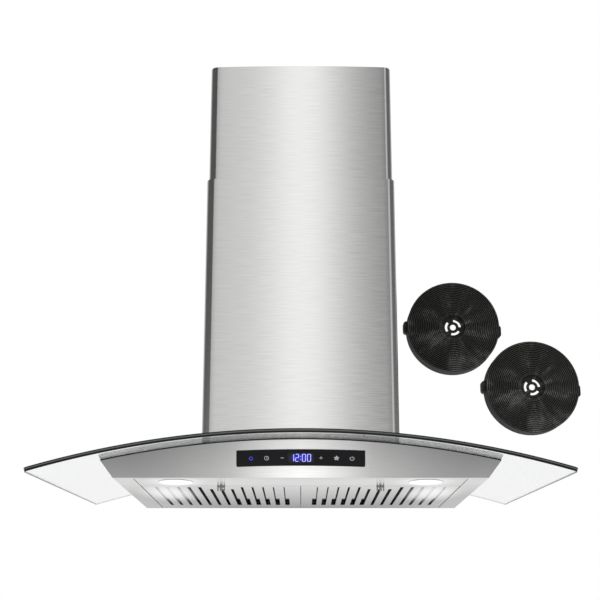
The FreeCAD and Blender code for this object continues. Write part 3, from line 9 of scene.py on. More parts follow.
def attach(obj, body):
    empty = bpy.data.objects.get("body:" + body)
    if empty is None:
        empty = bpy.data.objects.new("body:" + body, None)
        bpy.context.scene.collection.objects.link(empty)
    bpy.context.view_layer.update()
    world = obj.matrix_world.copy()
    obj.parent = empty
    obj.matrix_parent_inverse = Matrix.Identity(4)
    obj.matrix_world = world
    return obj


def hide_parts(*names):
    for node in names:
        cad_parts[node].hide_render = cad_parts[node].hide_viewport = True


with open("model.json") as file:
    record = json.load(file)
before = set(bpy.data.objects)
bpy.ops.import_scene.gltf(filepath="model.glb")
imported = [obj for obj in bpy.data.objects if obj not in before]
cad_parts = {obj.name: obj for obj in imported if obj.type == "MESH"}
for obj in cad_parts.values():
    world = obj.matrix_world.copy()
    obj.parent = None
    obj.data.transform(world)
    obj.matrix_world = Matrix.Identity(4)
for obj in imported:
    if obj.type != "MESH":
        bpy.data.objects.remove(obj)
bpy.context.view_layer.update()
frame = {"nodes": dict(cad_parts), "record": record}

MM = 0.001

# Places on the hood, in metres, repeated from the part's own sizes

CROWN = -110 * MM
ARCH_RADIUS = 1330 * MM
GLASS_THICK = 6 * MM
ARCH_AXIS = CROWN - ARCH_RADIUS
BODY_HALF = 281.5 * MM
FASCIA_FOOT = (-361 * MM, -155 * MM)
FASCIA_TOP_Y = -460 * MM
LEAN = math.pi - math.atan(45 / 99)
SLOPE = -math.atan(15 / 361)
LEANED = Matrix.Translation((0, *FASCIA_FOOT)) @ Matrix.Rotation(LEAN, 4, "X")
TILTED = Matrix.Translation((0, 0, -170 * MM)) @ Matrix.Rotation(SLOPE, 4, "X")
LAMP_X, LAMP_Y = 191.5 * MM, -321 * MM
GLARE = (216 * MM, -190 * MM)
SLOT_PITCH, SLOT_EDGE = 17 * MM, 231.5 * MM
ARCH_STEP = 10.2 * MM


def arch(across, offset=0.0):
    """Height of the curve that lies an offset above the glass's underside."""
    return ARCH_AXIS + math.sqrt((ARCH_RADIUS + offset) ** 2 - across**2)


# Small tools for shaping a piece as by hand


def activate(piece):
    """Selects that piece alone."""
    bpy.ops.object.select_all(action="DESELECT")
    piece.select_set(True)
    bpy.context.view_layer.objects.active = piece


def keep_place():
    """Moves the active piece's place, turn and size into its mesh."""
    bpy.ops.object.transform_apply(location=True, rotation=True, scale=True)


def primitive(kind, name, **how):
    """Starts a piece from one primitive, with everything else deselected."""
    bpy.ops.object.select_all(action="DESELECT")
    getattr(bpy.ops.mesh, f"primitive_{kind}_add")(**how)
    piece = bpy.context.object
    piece.name = piece.data.name = name
    keep_place()
    return piece


def block(name, low, high):
    low, high = Vector(low), Vector(high)
    return primitive("cube", name, size=1, location=(low + high) / 2, scale=high - low)


def edit(piece):
    activate(piece)
    bpy.ops.object.mode_set(mode="EDIT")


def leave():
    bpy.ops.object.mode_set(mode="OBJECT")


def choose(kind, test):
    """In edit mode, selects only the corners, edges or faces whose middle and direction pass the test."""
    bpy.ops.mesh.select_mode(type=kind)
    bpy.ops.mesh.select_all(action="DESELECT")
    mesh = bmesh.from_edit_mesh(bpy.context.object.data)
    mesh.normal_update()
    if kind == "VERT":
        found = [(v, v.co, v.normal) for v in mesh.verts]
    elif kind == "EDGE":
        found = [
            (e, (e.verts[0].co + e.verts[1].co) / 2, (e.verts[1].co - e.verts[0].co).normalized())
            for e in mesh.edges
        ]
    else:
        found = [(f, f.calc_center_median(), f.normal) for f in mesh.faces]
    for part, middle, way in found:
        part.select_set(bool(test(middle, way)))
    mesh.select_flush_mode()
    bmesh.update_edit_mesh(bpy.context.object.data)


def everything(kind="VERT"):
    bpy.ops.mesh.select_mode(type=kind)
    bpy.ops.mesh.select_all(action="SELECT")


def cut_along(place, way):
    """Adds edges where a plane crosses the whole piece."""
    everything()
    bpy.ops.mesh.bisect(plane_co=place, plane_no=way)


def paint(slot, test):
    """In edit mode, gives the faces that pass the test the material in that slot."""
    choose("FACE", test)
    bpy.context.object.active_material_index = slot
    bpy.ops.object.material_slot_assign()


def trace(name, points):
    """Draws a line through the points by extruding one corner to the next; the piece stays in edit mode."""
    points = [Vector(p) for p in points]
    piece = primitive("plane", name, size=MM, location=points[0])
    edit(piece)
    everything()
    bpy.ops.mesh.merge(type="CENTER")
    for here, there in zip(points, points[1:]):
        bpy.ops.mesh.extrude_region_move(TRANSFORM_OT_translate={"value": there - here})
    return piece


def plate(name, points):
    """A flat face with the outline that the points give; the piece stays in edit mode."""
    piece = trace(name, points)
    everything()
    bpy.ops.mesh.edge_face_add()
    return piece


def face_out():
    """Merges doubles and turns the faces of a closed piece outwards."""
    everything("FACE")
    bpy.ops.mesh.remove_doubles(threshold=0.01 * MM)
    bpy.ops.mesh.normals_make_consistent(inside=False)


def face_up():
    """Turns every face of a flat piece upwards and leaves edit mode."""
    everything("FACE")
    bpy.ops.mesh.normals_make_consistent(inside=False)
    choose("FACE", lambda p, n: n.z < 0)
    bpy.ops.mesh.flip_normals()
    leave()


def sweep(steps, angle, centre, axis):
    """Spins what is selected by the right-hand rule; with no window Blender's own angle turns the other way."""
    bpy.ops.mesh.spin(steps=steps, angle=-angle, center=centre, axis=axis)


def lathe(name, profile, centre, axis, steps=96):
    """Spins a closed profile round an axis."""
    piece = trace(name, [*profile, profile[0]])
    everything()
    bpy.ops.mesh.remove_doubles(threshold=0.01 * MM)
    everything("EDGE")
    sweep(steps, 2 * math.pi, centre, axis)
    face_out()
    leave()
    return piece


def modify(piece, kind, **settings):
    """Adds a modifier with its settings and applies it."""
    activate(piece)
    change = piece.modifiers.new(kind.lower(), kind)
    for name, value in settings.items():
        setattr(change, name, value)
    bpy.ops.object.modifier_apply(modifier=change.name)


def soften(piece, width, segments=2, angle=40):
    """Rounds the edges sharper than that angle, then shades smooth."""
    sharp = {"limit_method": "ANGLE", "angle_limit": math.radians(angle)}
    modify(piece, "BEVEL", width=width, segments=segments, use_clamp_overlap=True, **sharp)
    shade(piece)
    modify(piece, "WEIGHTED_NORMAL", keep_sharp=True)


def shade(piece, angle=35):
    activate(piece)
    bpy.ops.object.shade_smooth_by_angle(angle=math.radians(angle))


def settle(piece, frame_of):
    """Lays a piece drawn flat on the fascia or the underside, with its place kept in its mesh."""
    piece.matrix_world = frame_of @ piece.matrix_world
    activate(piece)
    keep_place()
    return piece


def copy_of(piece, name, shift=(0, 0, 0), mirror=False):
    """A copy with its own mesh, shifted or mirrored across the middle of the hood."""
    activate(piece)
    bpy.ops.object.duplicate(linked=False)
    twin = bpy.context.object
    twin.name = twin.data.name = name
    if mirror:
        twin.scale.x = -1
    twin.location = shift
    keep_place()
    if mirror:
        edit(twin)
        face_out()
        leave()
    return twin


def discard(piece):
    bpy.data.objects.remove(piece, do_unlink=True)


# Small tools for materials


def colour(code):
    """An sRGB hex colour as the linear values that shaders use."""
    parts = [int(code[i : i + 2], 16) / 255 for i in (1, 3, 5)]
    return (*[c / 12.92 if c <= 0.04045 else ((c + 0.055) / 1.055) ** 2.4 for c in parts], 1.0)


def wire(node, sockets):
    """Gives each socket, by name or in order, a plain value or a link from the output that feeds it."""
    named = sockets.items() if isinstance(sockets, dict) else enumerate(sockets)
    for name, value in named:
        if isinstance(value, bpy.types.NodeSocket):
            node.id_data.links.new(value, node.inputs[name])
        else:
            node.inputs[name].default_value = value


def add(tree, kind, sockets=(), out=0, stops=(), **settings):
    """Adds a node with its settings, links and ramp stops, each a position with a hex or grey value."""
    node = tree.nodes.new("ShaderNode" + kind)
    for name, value in settings.items():
        setattr(node, name, value)
    wire(node, sockets)
    if stops:
        band = node.color_ramp.elements
        while len(band) < len(stops):
            band.new(0.5)
        for element, (position, value) in zip(band, stops):
            element.position = position
            element.color = colour(value) if isinstance(value, str) else (value, value, value, 1)
    return node.outputs[out]


def new_material(name, roughness, **values):
    """A material with its main shader set; returns it with its tree and that shader."""
    made = bpy.data.materials.new(name)
    made.use_nodes = True
    shader = made.node_tree.nodes["Principled BSDF"]
    shader.inputs["Roughness"].default_value = roughness
    for key, value in values.items():
        shader.inputs[key.replace("_", " ")].default_value = value
    return made, made.node_tree, shader


def object_place(tree, scale=(1, 1, 1), location=(0, 0, 0)):
    """The piece's own coordinates in metres, times a scale."""
    place = add(tree, "TexCoord", out="Object")
    return add(tree, "Mapping", {"Vector": place, "Scale": scale, "Location": location})


def grain(tree, scale, stretch=(1, 1, 1), detail=2.0):
    """Noise with that many features a metre."""
    return add(tree, "TexNoise", {"Vector": object_place(tree, stretch), "Scale": scale, "Detail": detail})


def hood_place(tree):
    """How far a point lies from the middle of the hood, and its place in depth."""
    parts = add(tree, "SeparateXYZ", [add(tree, "TexCoord", out="Object")]).node.outputs
    return add(tree, "Math", [parts["X"]], operation="ABSOLUTE"), parts["Y"]


def lamp_glow(tree, near, far, reach=1.0, spot=(LAMP_X, LAMP_Y)):
    """1 at a spot on each side of the underside, 0 far from it; a reach under 1 draws it out in depth."""
    across, depth = hood_place(tree)
    flat = add(tree, "CombineXYZ", (across, depth))
    off = add(tree, "VectorMath", (flat, (*spot, 0)), operation="SUBTRACT")
    squeezed = add(tree, "VectorMath", (off, (1, reach, 1)), operation="MULTIPLY")
    far_off = add(tree, "VectorMath", [squeezed], out="Value", operation="LENGTH")
    return add(tree, "MapRange", (far_off, near, far, 1.0, 0.0), interpolation_type="SMOOTHSTEP")


# Materials, each named for the real one


def brushed_stainless(name, stretch):
    """430 stainless sheet, brushed on a belt. Real lines are 0.1 to 0.3 mm apart, too fine to show, so they
    are drawn 1 to 2 mm apart. They run level on every wall and smear each reflection up and down."""
    made, tree, shader = new_material(name, 0.2, Metallic=1.0, Anisotropic=0.75, Anisotropic_Rotation=0.25)
    fine = grain(tree, 1.0, stretch, 1.0)
    tone = add(tree, "ValToRGB", [fine], stops=((0.3, "#DCDCDB"), (0.7, "#E6E6E5")))
    rough = add(tree, "MapRange", (fine, 0.3, 0.7, 0.185, 0.215))
    along = add(tree, "CombineXYZ", (1.0, 0.02))
    relief = add(tree, "Bump", {"Height": fine, "Distance": 0.01 * MM, "Strength": 0.06})
    wire(shader, {"Base Color": tone, "Roughness": rough, "Tangent": along, "Normal": relief})
    return made, tree, shader, tone


def slot_shade(tree, across, depth):
    """1 on a painted shadow along the outer side of each filter slot, fading inwards, less where the lamps
    glare.
    """
    # Painted shadow: a dark band beside each slot stands for the shade inside it
    inward = add(tree, "Math", (SLOT_EDGE, across), operation="SUBTRACT")
    side = add(tree, "Math", (inward, SLOT_PITCH), operation="FLOORED_MODULO")
    width = add(tree, "MapRange", (across, 35 * MM, 130 * MM, 1.5 * MM, 5.0 * MM))
    past = add(tree, "Math", (side, width), operation="SUBTRACT")
    band = add(tree, "MapRange", (past, 0.0, 0.6 * MM, 1.0, 0.0))
    # The slots beside the latch end further back
    from_latch = add(tree, "Math", (across, 125.5 * MM), operation="SUBTRACT")
    off_latch = add(tree, "Math", [from_latch], operation="ABSOLUTE")
    front_end = add(tree, "MapRange", (off_latch, 25.0 * MM, 25.2 * MM, -242 * MM, -264 * MM))
    for value, comparison, limit in (
        (depth, "GREATER_THAN", front_end),
        (depth, "LESS_THAN", -44 * MM),
        (across, "LESS_THAN", SLOT_EDGE),
        (across, "GREATER_THAN", 18 * MM),
    ):
        inside = add(tree, "Math", (value, limit), operation=comparison)
        band = add(tree, "Math", (band, inside), operation="MULTIPLY")
    lit = lamp_glow(tree, 14 * MM, 54 * MM, 0.3, GLARE)
    unlit = add(tree, "MapRange", (lit, 0.0, 1.0, 1.0, 0.1))
    return add(tree, "Math", (band, unlit), operation="MULTIPLY")


def underside_steel(name, slots=False):
    """The same brushed steel round the lamps, with a painted glow beside them and painted shade that darkens
    its colour and reflection towards the rear wall, less at the outer ends.
    On the filters a painted shadow darkens the outer side of each slot, wider away from the middle."""
    made, tree, shader, tone = brushed_stainless(name, (25, 800, 800))
    across, depth = hood_place(tree)
    # Painted shade: lighter at the front and outer ends, darker towards the rear wall, in colour and reflection
    front_share = add(tree, "MapRange", (depth, -300 * MM, -10 * MM, 1.0, 0.0))
    outer_share = add(tree, "MapRange", (across, 120 * MM, 260 * MM, 0.0, 0.55))
    light = add(tree, "Math", (front_share, outer_share), operation="MAXIMUM")
    dimmed = add(tree, "Mix", {0: light, 6: colour("#AEAEAE"), 7: colour("#F0F0F0")}, out=2, data_type="RGBA")
    shaded = add(tree, "Mix", {0: 1.0, 6: tone, 7: dimmed}, out=2, data_type="RGBA", blend_type="MULTIPLY")
    # Painted glow: a halo round each lamp and a glare beside it, given as white emission
    halo = add(tree, "Math", (lamp_glow(tree, 22 * MM, 55 * MM), 0.14), operation="MULTIPLY")
    glare = add(tree, "Math", (lamp_glow(tree, 8 * MM, 62 * MM, 0.52, GLARE), 0.34), operation="MULTIPLY")
    glow = add(tree, "Math", (halo, glare), operation="ADD")
    tint = add(tree, "MapRange", (light, 0.0, 1.0, 0.62, 0.9))
    if slots:
        band = slot_shade(tree, across, depth)
        # Painted shadow in the slots: #2E2E2E, with no glow or reflection tint there
        shaded = add(tree, "Mix", {0: band, 6: shaded, 7: colour("#2E2E2E")}, out=2, data_type="RGBA")
        rest = add(tree, "Math", (1.0, band), operation="SUBTRACT")
        glow = add(tree, "Math", (glow, rest), operation="MULTIPLY")
        tint = add(tree, "Math", (tint, rest), operation="MULTIPLY")
    wire(shader, {"Base Color": shaded, "Specular Tint": tint})
    wire(shader, {"Emission Color": (1, 1, 1, 1), "Emission Strength": glow})
    return made


def leaned_steel():
    """The same brushed steel on the fascia, with a painted reflection that darkens its colour towards both
    ends, and painted shade that darkens it towards the glass.
    """
    made, tree, shader, tone = brushed_stainless("brushed_stainless_fascia", (26, 800, 800))
    across, depth = hood_place(tree)
    end_share = add(tree, "MapRange", (across, 0.0, BODY_HALF, 0.0, 1.0))
    # Painted reflection: bright in the middle, falling to a tenth at the ends
    painted_reflection_stops = (
        (0.0, 0.98), (0.12, 0.88), (0.21, 0.74), (0.29, 0.61), (0.37, 0.49), (0.45, 0.42), (0.54, 0.37),
        (0.62, 0.32), (0.7, 0.27), (0.78, 0.22), (0.86, 0.17), (0.95, 0.125), (1.0, 0.1),
    )
    painted_reflection = add(tree, "ValToRGB", [end_share], stops=painted_reflection_stops)
    # Painted shade towards the glass, stronger towards the ends
    high = add(tree, "MapRange", (depth, -375 * MM, -458 * MM, 0.0, 0.35))
    sideways = add(tree, "MapRange", (end_share, 0.0, 1.0, 0.7, 1.0))
    lost = add(tree, "Math", (high, sideways), operation="MULTIPLY")
    kept = add(tree, "Math", (1.0, lost), operation="SUBTRACT")
    shaded = add(tree, "Mix", {0: 1.0, 6: tone, 7: painted_reflection}, out=2, data_type="RGBA", blend_type="MULTIPLY")
    wire(shader, {"Base Color": add(tree, "VectorMath", {0: shaded, "Scale": kept}, operation="SCALE")})
    return made


def galvanised_sheet():
    """Hot-dip galvanised steel: dull grey zinc with crystal spangle about 8 mm across."""
    made, tree, shader = new_material("galvanised_sheet", 0.42, Metallic=0.85)
    cells = add(tree, "TexVoronoi", {"Vector": object_place(tree), "Scale": 125.0}, out="Color")
    tone = add(tree, "ValToRGB", [cells], stops=((0.15, "#8E9296"), (0.85, "#B4B7B9")))
    rough = add(tree, "MapRange", {"Value": cells, "To Min": 0.34, "To Max": 0.52})
    relief = add(tree, "Bump", {"Height": grain(tree, 900.0), "Distance": 0.02 * MM, "Strength": 0.4})
    wire(shader, {"Base Color": tone, "Roughness": rough, "Normal": relief})
    return made


def mottled(name, roughness, tones, clouds, skin, depth, push, **values):
    """A cloudy tone and a finely rough skin. Each is given as features a metre and detail."""
    made, tree, shader = new_material(name, roughness, **values)
    cloud = grain(tree, clouds[0], detail=clouds[1])
    grains = grain(tree, skin[0], detail=skin[1])
    tone = add(tree, "ValToRGB", [cloud], stops=((0.3, tones[0]), (0.7, tones[1])))
    relief = add(tree, "Bump", {"Height": grains, "Distance": depth, "Strength": push})
    wire(shader, {"Base Color": tone, "Normal": relief})
    return made


def moulded_plastic(name, dark, light, roughness):
    """Injection-moulded plastic with a fine spark-eroded skin."""
    return mottled(name, roughness, (dark, light), (35.0, 3.0), (2200.0, 1.0), 0.03 * MM, 0.5, IOR=1.5)


def soft_rubber():
    """Extruded EPDM rubber: black, matt, with a faint bloom."""
    tones = ("#141414", "#232323")
    return mottled("epdm_rubber", 0.75, tones, (60.0, 2.0), (1500.0, 2.0), 0.03 * MM, 0.5, IOR=1.5)


def clear_glass():
    """Clear tempered float glass, 6 mm, faintly green. Light passes it without a hard shadow."""
    made, tree, shader = new_material("tempered_float_glass", 0.0, IOR=1.5, Transmission_Weight=1.0)
    tone = add(tree, "ValToRGB", [grain(tree, 3.0)], stops=((0.3, "#FBFDFC"), (0.7, "#FDFEFE")))
    wire(shader, {"Base Color": tone})
    path = add(tree, "LightPath").node.outputs
    passes = add(tree, "Math", (path["Is Shadow Ray"], path["Is Diffuse Ray"]), operation="MAXIMUM")
    clear = add(tree, "BsdfTransparent", {"Color": colour("#F2F5F4")})
    mixed = add(tree, "MixShader", (passes, shader.outputs[0], clear))
    wire(tree.nodes["Material Output"], {"Surface": mixed})
    return made


def glass_edge(name, upper, lower):
    """A ground and polished edge: the dark and pale bands that light caught inside the sheet gives it are
    painted into its colour across the thickness.
    """
    made, tree, shader = new_material(name, 0.12, IOR=1.5, Specular_IOR_Level=0.15)
    place = add(tree, "TexCoord", out="Object")
    from_axis = add(tree, "VectorMath", (place, (0, 0, -ARCH_AXIS)), operation="ADD")
    flat = add(tree, "VectorMath", (from_axis, (1, 0, 1)), operation="MULTIPLY")
    out = add(tree, "VectorMath", [flat], out="Value", operation="LENGTH")
    share = add(tree, "MapRange", (out, ARCH_RADIUS, ARCH_RADIUS + GLASS_THICK, 0.0, 1.0))
    bands = ((0.04, upper), (0.1, lower), (0.45, lower), (0.52, upper), (0.72, upper), (0.8, lower))
    wire(shader, {"Base Color": add(tree, "ValToRGB", [share], stops=bands)})
    return made


def enamel_dots():
    """Grey enamel fired on glass in dots 0.3 mm across: from afar it only dims what lies behind."""
    made, tree, shader = new_material("grey_enamel_frit", 0.5, IOR=1.5, Specular_IOR_Level=0.2)
    dots = add(tree, "TexVoronoi", {"Vector": object_place(tree), "Scale": 2600.0, "Randomness": 0.0})
    tone = add(tree, "ValToRGB", [dots], stops=((0.3, "#4A4C4C"), (0.6, "#565858")))
    cover = add(tree, "MapRange", (dots, 0.3, 0.5, 0.36, 0.25))
    wire(shader, {"Base Color": tone, "Alpha": cover})
    return made


def polished_chrome():
    """Chrome plate on a turned ring: a clear mirror with faint turning marks, and a faint painted glow of its
    own.
    """
    # Painted glow: a faint white emission of 0.22
    made, tree, shader = new_material("chrome_plate", 0.08, Metallic=1.0, Emission_Strength=0.22)
    rough = add(tree, "MapRange", {"Value": grain(tree, 300.0), "To Min": 0.05, "To Max": 0.14})
    wire(shader, {"Base Color": colour("#D8D9DA"), "Emission Color": (1, 1, 1, 1), "Roughness": rough})
    return made


def lit_lens():
    """Frosted glass lens over a lit lamp, a little brighter in its middle."""
    warm = colour("#FFFDF8")
    made, tree, shader = new_material("frosted_lamp_lens", 0.35, IOR=1.5, Base_Color=warm, Emission_Color=warm)
    glow = lamp_glow(tree, 2 * MM, 26 * MM)
    strength = add(tree, "MapRange", {"Value": glow, "To Min": 0.62, "To Max": 1.15})
    relief = add(tree, "Bump", {"Height": grain(tree, 900.0), "Distance": 0.05 * MM, "Strength": 0.4})
    wire(shader, {"Emission Strength": strength, "Normal": relief})
    return made


def black_glass():
    """Back-painted black glass with an anti-glare coat: deep black, with a faint haze of finger grease."""
    made, tree, shader = new_material("back_painted_black_glass", 0.06, IOR=1.52, Specular_IOR_Level=0.02)
    haze = grain(tree, 40.0, detail=4.0)
    tone = add(tree, "ValToRGB", [grain(tree, 14.0)], stops=((0.3, "#0A0A0D"), (0.7, "#0F0F13")))
    rough = add(tree, "MapRange", {"Value": haze, "To Min": 0.04, "To Max": 0.12})
    wire(shader, {"Base Color": tone, "Roughness": rough})
    return made


def printed_ink(name, thick, thin, glow):
    """A symbol printed behind the glass and glowing at the given strength, a shade paler where the ink is thin:
    the lit symbols are lit from behind, and the glow of the unlit grey print is painted light.
    """
    made, tree, shader = new_material(name, 0.4, IOR=1.5, Emission_Strength=glow)
    tone = add(tree, "ValToRGB", [grain(tree, 400.0)], stops=((0.2, thick), (0.8, thin)))
    wire(shader, {"Base Color": tone, "Emission Color": tone})
    return made


def activated_charcoal():
    """Foam pad loaded with carbon grains about 1.5 mm across."""
    made, tree, shader = new_material("activated_charcoal_pad", 0.9)
    grains = add(tree, "TexVoronoi", {"Vector": object_place(tree), "Scale": 650.0})
    tone = add(tree, "ValToRGB", [grains], stops=((0.1, "#1E1E1C"), (0.6, "#0C0C0B")))
    relief = add(tree, "Bump", {"Height": grains, "Distance": 0.5 * MM, "Strength": 0.8})
    wire(shader, {"Base Color": tone, "Normal": relief})
    return made


def zinc_plate():
    """Bright zinc plating on screws and rods, a little yellow and blue."""
    tones = ("#B9B9B2", "#C9CBCF")
    return mottled("zinc_plated_steel", 0.3, tones, (220.0, 2.0), (1800.0, 2.0), 0.01 * MM, 0.4, Metallic=1.0)


def spring_steel_strip():
    """Rolled spring steel, blue grey, with a faint rolling grain."""
    made, tree, shader = new_material("spring_steel", 0.28, Metallic=1.0)
    rolled = grain(tree, 1.0, (40, 900, 900))
    tone = add(tree, "ValToRGB", [rolled], stops=((0.3, "#8B8F94"), (0.7, "#A5A9AD")))
    relief = add(tree, "Bump", {"Height": rolled, "Distance": 0.01 * MM, "Strength": 0.4})
    wire(shader, {"Base Color": tone, "Normal": relief})
    return made


def painted_motor():
    """Electro-coated motor can: dark grey paint with slight orange peel."""
    tones = ("#55585C", "#63666A")
    return mottled("coated_motor_can", 0.45, tones, (50.0, 2.0), (500.0, 2.0), 0.05 * MM, 0.4, IOR=1.5)


def cast_aluminium():
    """Die-cast aluminium lamp body: pale grey, slightly grainy."""
    tones = ("#AEB0B2", "#C3C5C6")
    return mottled("cast_aluminium", 0.45, tones, (120.0, 2.0), (1200.0, 2.0), 0.04 * MM, 0.5, Metallic=1.0)


def circuit_board():
    """Glass-fibre laminate under green solder resist, with copper tracks that show through it."""
    made, tree, shader = new_material("fibreglass_laminate", 0.35, IOR=1.5)
    tones = {"Color1": colour("#1F5A34"), "Color2": colour("#236239"), "Mortar": colour("#3F7A48")}
    tracks = add(tree, "TexBrick", {"Vector": object_place(tree), "Scale": 180.0, **tones})
    wire(shader, {"Base Color": tracks})
    return made


def cable_sheath():
    """Extruded PVC sheath, off white, faintly ribbed."""
    tones = ("#DEDDD8", "#E8E7E3")
    return mottled("pvc_sheath", 0.5, tones, (80.0, 2.0), (1500.0, 2.0), 0.02 * MM, 0.4, IOR=1.5)


def baffle_steel():
    """The channels behind the slots: brushed steel with painted shade in a dark base colour, and a painted glow
    beside the lamps.
    """
    made, tree, shader = new_material("shaded_baffle_steel", 0.4, Metallic=1.0, Emission_Color=(1, 1, 1, 1))
    lit = lamp_glow(tree, 14 * MM, 54 * MM, 0.3, GLARE)
    brushed = grain(tree, 1.0, (5, 420, 420))
    # Painted shade #444444 away from the lamps; painted light #D6D6D6 and emission beside them
    tone = add(tree, "ValToRGB", [lit], stops=((0.0, "#444444"), (1.0, "#D6D6D6")))
    strength = add(tree, "MapRange", (lit, 0.0, 1.0, 0.0, 0.42))
    relief = add(tree, "Bump", {"Height": brushed, "Distance": 0.02 * MM, "Strength": 0.4})
    wire(shader, {"Base Color": tone, "Emission Strength": strength, "Normal": relief})
    return made


def soft_patch(name, code, centre, half_across, half_up):
    """Light that leaks round a lit symbol through the dark glass, fading outwards."""
    made, tree, shader = new_material(name, 0.1, IOR=1.5, Specular_IOR_Level=0.05, Emission_Strength=0.6)
    place = add(tree, "TexCoord", out="Object")
    off = add(tree, "VectorMath", (place, centre), operation="SUBTRACT")
    shares = (1 / half_across, 1 / half_up, 1 / half_up)
    scaled = add(tree, "VectorMath", (off, shares), operation="MULTIPLY")
    out = add(tree, "VectorMath", [scaled], out="Value", operation="LENGTH")
    tone = add(tree, "ValToRGB", [out], stops=((0.35, code), (0.98, "#000000")))
    tone.node.color_ramp.interpolation = "EASE"
    wire(shader, {"Base Color": colour("#0A0A0C"), "Emission Color": tone})
    return made


chimney_steel = brushed_stainless("brushed_stainless_chimney", (26, 26, 850))[0]
under_steel = underside_steel("brushed_stainless_underside")
fascia_steel = leaned_steel()
white_plastic = moulded_plastic("moulded_white_abs", "#D9D9D4", "#E3E3DE", 0.42)
# Painted highlight: the black latches are given a paler grey so that they read as lit
latch_painted_pale = moulded_plastic("moulded_grey_latch", "#8A8A88", "#989896", 0.45)
rubber = soft_rubber()
glass = clear_glass()
# Front and side edges are copies with different painted bands of light and shade
front_edge = glass_edge("polished_glass_edge_front", "#565959", "#141616")
side_edge = glass_edge("polished_glass_edge_side", "#343838", "#1C2020")
enamel = enamel_dots()
chrome = polished_chrome()
lens_glass = lit_lens()
panel_glass = black_glass()
blue_ink = printed_ink("lit_blue_symbol", "#1212B4", "#1313B5", 0.5)
# The grey symbols are printed, not lit: their glow is painted light
grey_ink = printed_ink("printed_grey_symbol", "#8C8C90", "#8D8D91", 0.5)
clock_ink = printed_ink("lit_clock_digits", "#8E8EFF", "#8F8FFF", 1.25)
clock_halo = printed_ink("clock_window_glow", "#2A2AB4", "#2B2BB5", 0.6)
lamp_body = cast_aluminium()
shaded_baffles = baffle_steel()

finishes = {
    "rubber": rubber,
    "stainless": brushed_stainless("brushed_stainless_body", (26, 800, 800))[0],
    "galvanised": galvanised_sheet(),
    "filter_mesh": underside_steel("brushed_stainless_filter", slots=True),
    "control_black": panel_glass,
    "control_case": moulded_plastic("moulded_control_case", "#141414", "#1C1C1C", 0.5),
    "board": circuit_board(),
    "display_blue": clock_halo,
    "lamp_chrome": chrome,
    "lamp_lens": lens_glass,
    "lamp_can": lamp_body,
    "black_plastic": moulded_plastic("moulded_black_abs", "#1C1C1B", "#262624", 0.48),
    "white_plastic": white_plastic,
    "charcoal": activated_charcoal(),
    "spring_steel": spring_steel_strip(),
    "zinc_screw": zinc_plate(),
    "motor_steel": painted_motor(),
    "cable": cable_sheath(),
    "canopy_glass": glass,
}
own_finish = {
    "body_shell": under_steel,
    "light_panel": under_steel,
    "lower_chimney": chimney_steel,
    "upper_chimney": chimney_steel,
    "filter_left_baffles": shaded_baffles,
    "filter_right_baffles": shaded_baffles,
    "filter_left_latch": latch_painted_pale,
    "filter_right_latch": latch_painted_pale,
}
for subpart in frame["record"]["subparts"]:
    thing = frame["nodes"][subpart["node"]]
    finish = own_finish.get(subpart["node"], finishes[subpart["material_slot"]])
    thing.data.materials.clear()
    thing.data.materials.append(finish)


def give(piece, *materials):
    piece.data.materials.clear()
    for made in materials:
        piece.data.materials.append(made)


# Curved forms that other pieces are laid against


def arch_form(name, offset):
    """A curved sheet that lies an offset above the glass's underside."""
    half = 400 * MM
    angle = math.asin(half / (ARCH_RADIUS + offset))
    form = trace(name, [(-half, -600 * MM, arch(half, offset)), (-half, 50 * MM, arch(half, offset))])
    everything()
    sweep(256, 2 * angle, (0, 0, ARCH_AXIS), (0, 1, 0))
    everything()
    bpy.ops.mesh.remove_doubles(threshold=0.001 * MM)
    leave()
    return form


def lay_on(piece, form, group=""):
    """Drops the piece, or a group of its corners, straight onto a form."""
    modify(
        piece,
        "SHRINKWRAP",
        target=form,
        wrap_method="PROJECT",
        use_project_z=True,
        use_negative_direction=True,
        use_positive_direction=True,
        vertex_group=group,
    )


under_glass = arch_form("under_glass_form", 0)
below_glass = arch_form("below_glass_form", -0.15 * MM)
over_glass = arch_form("over_glass_form", 6.3 * MM)

# Glass canopy: a flat outline with rounded corners, laid on the curve and thickened upwards

notch_half, notch_front, wall_side = 153 * MM, -218 * MM, -2 * MM
glass_half, glass_front = 375 * MM, -510 * MM
canopy = plate(
    "canopy_glass",
    [
        (x, y, -100 * MM)
        for x, y in (
            (-glass_half, glass_front),
            (glass_half, glass_front),
            (glass_half, wall_side),
            (notch_half, wall_side),
            (notch_half, notch_front),
            (-notch_half, notch_front),
            (-notch_half, wall_side),
            (-glass_half, wall_side),
        )
    ],
)
choose("VERT", lambda p, n: p.y < glass_front + MM)
bpy.ops.mesh.bevel(affect="VERTICES", offset=7 * MM, segments=6)
choose("VERT", lambda p, n: abs(p.y - notch_front) < MM)
bpy.ops.mesh.bevel(affect="VERTICES", offset=10 * MM, segments=6)
for step in range(-36, 37):
    cut_along((step * ARCH_STEP, 0, 0), (1, 0, 0))
for side in (-1, 1):
    cut_along((side * (glass_half - 1.6 * MM), 0, 0), (1, 0, 0))
for step in range(1, 12):
    cut_along((0, glass_front + step * 42.3 * MM, 0), (0, 1, 0))
face_up()
lay_on(canopy, under_glass)
modify(canopy, "SOLIDIFY", thickness=GLASS_THICK, offset=1, use_even_offset=True)
give(canopy, glass, front_edge, side_edge)
edit(canopy)
paint(2, lambda p, n: abs(n.z) < 0.5 or abs(p.x) > glass_half - 1.5 * MM)
paint(1, lambda p, n: n.y < -0.5 and p.y < glass_front + 8 * MM)
leave()
soften(canopy, 0.5 * MM)
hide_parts("glass_canopy")
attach(canopy, "hood")

# Frit: a fine dot print in grey enamel under the front of the glass, as wide as the body

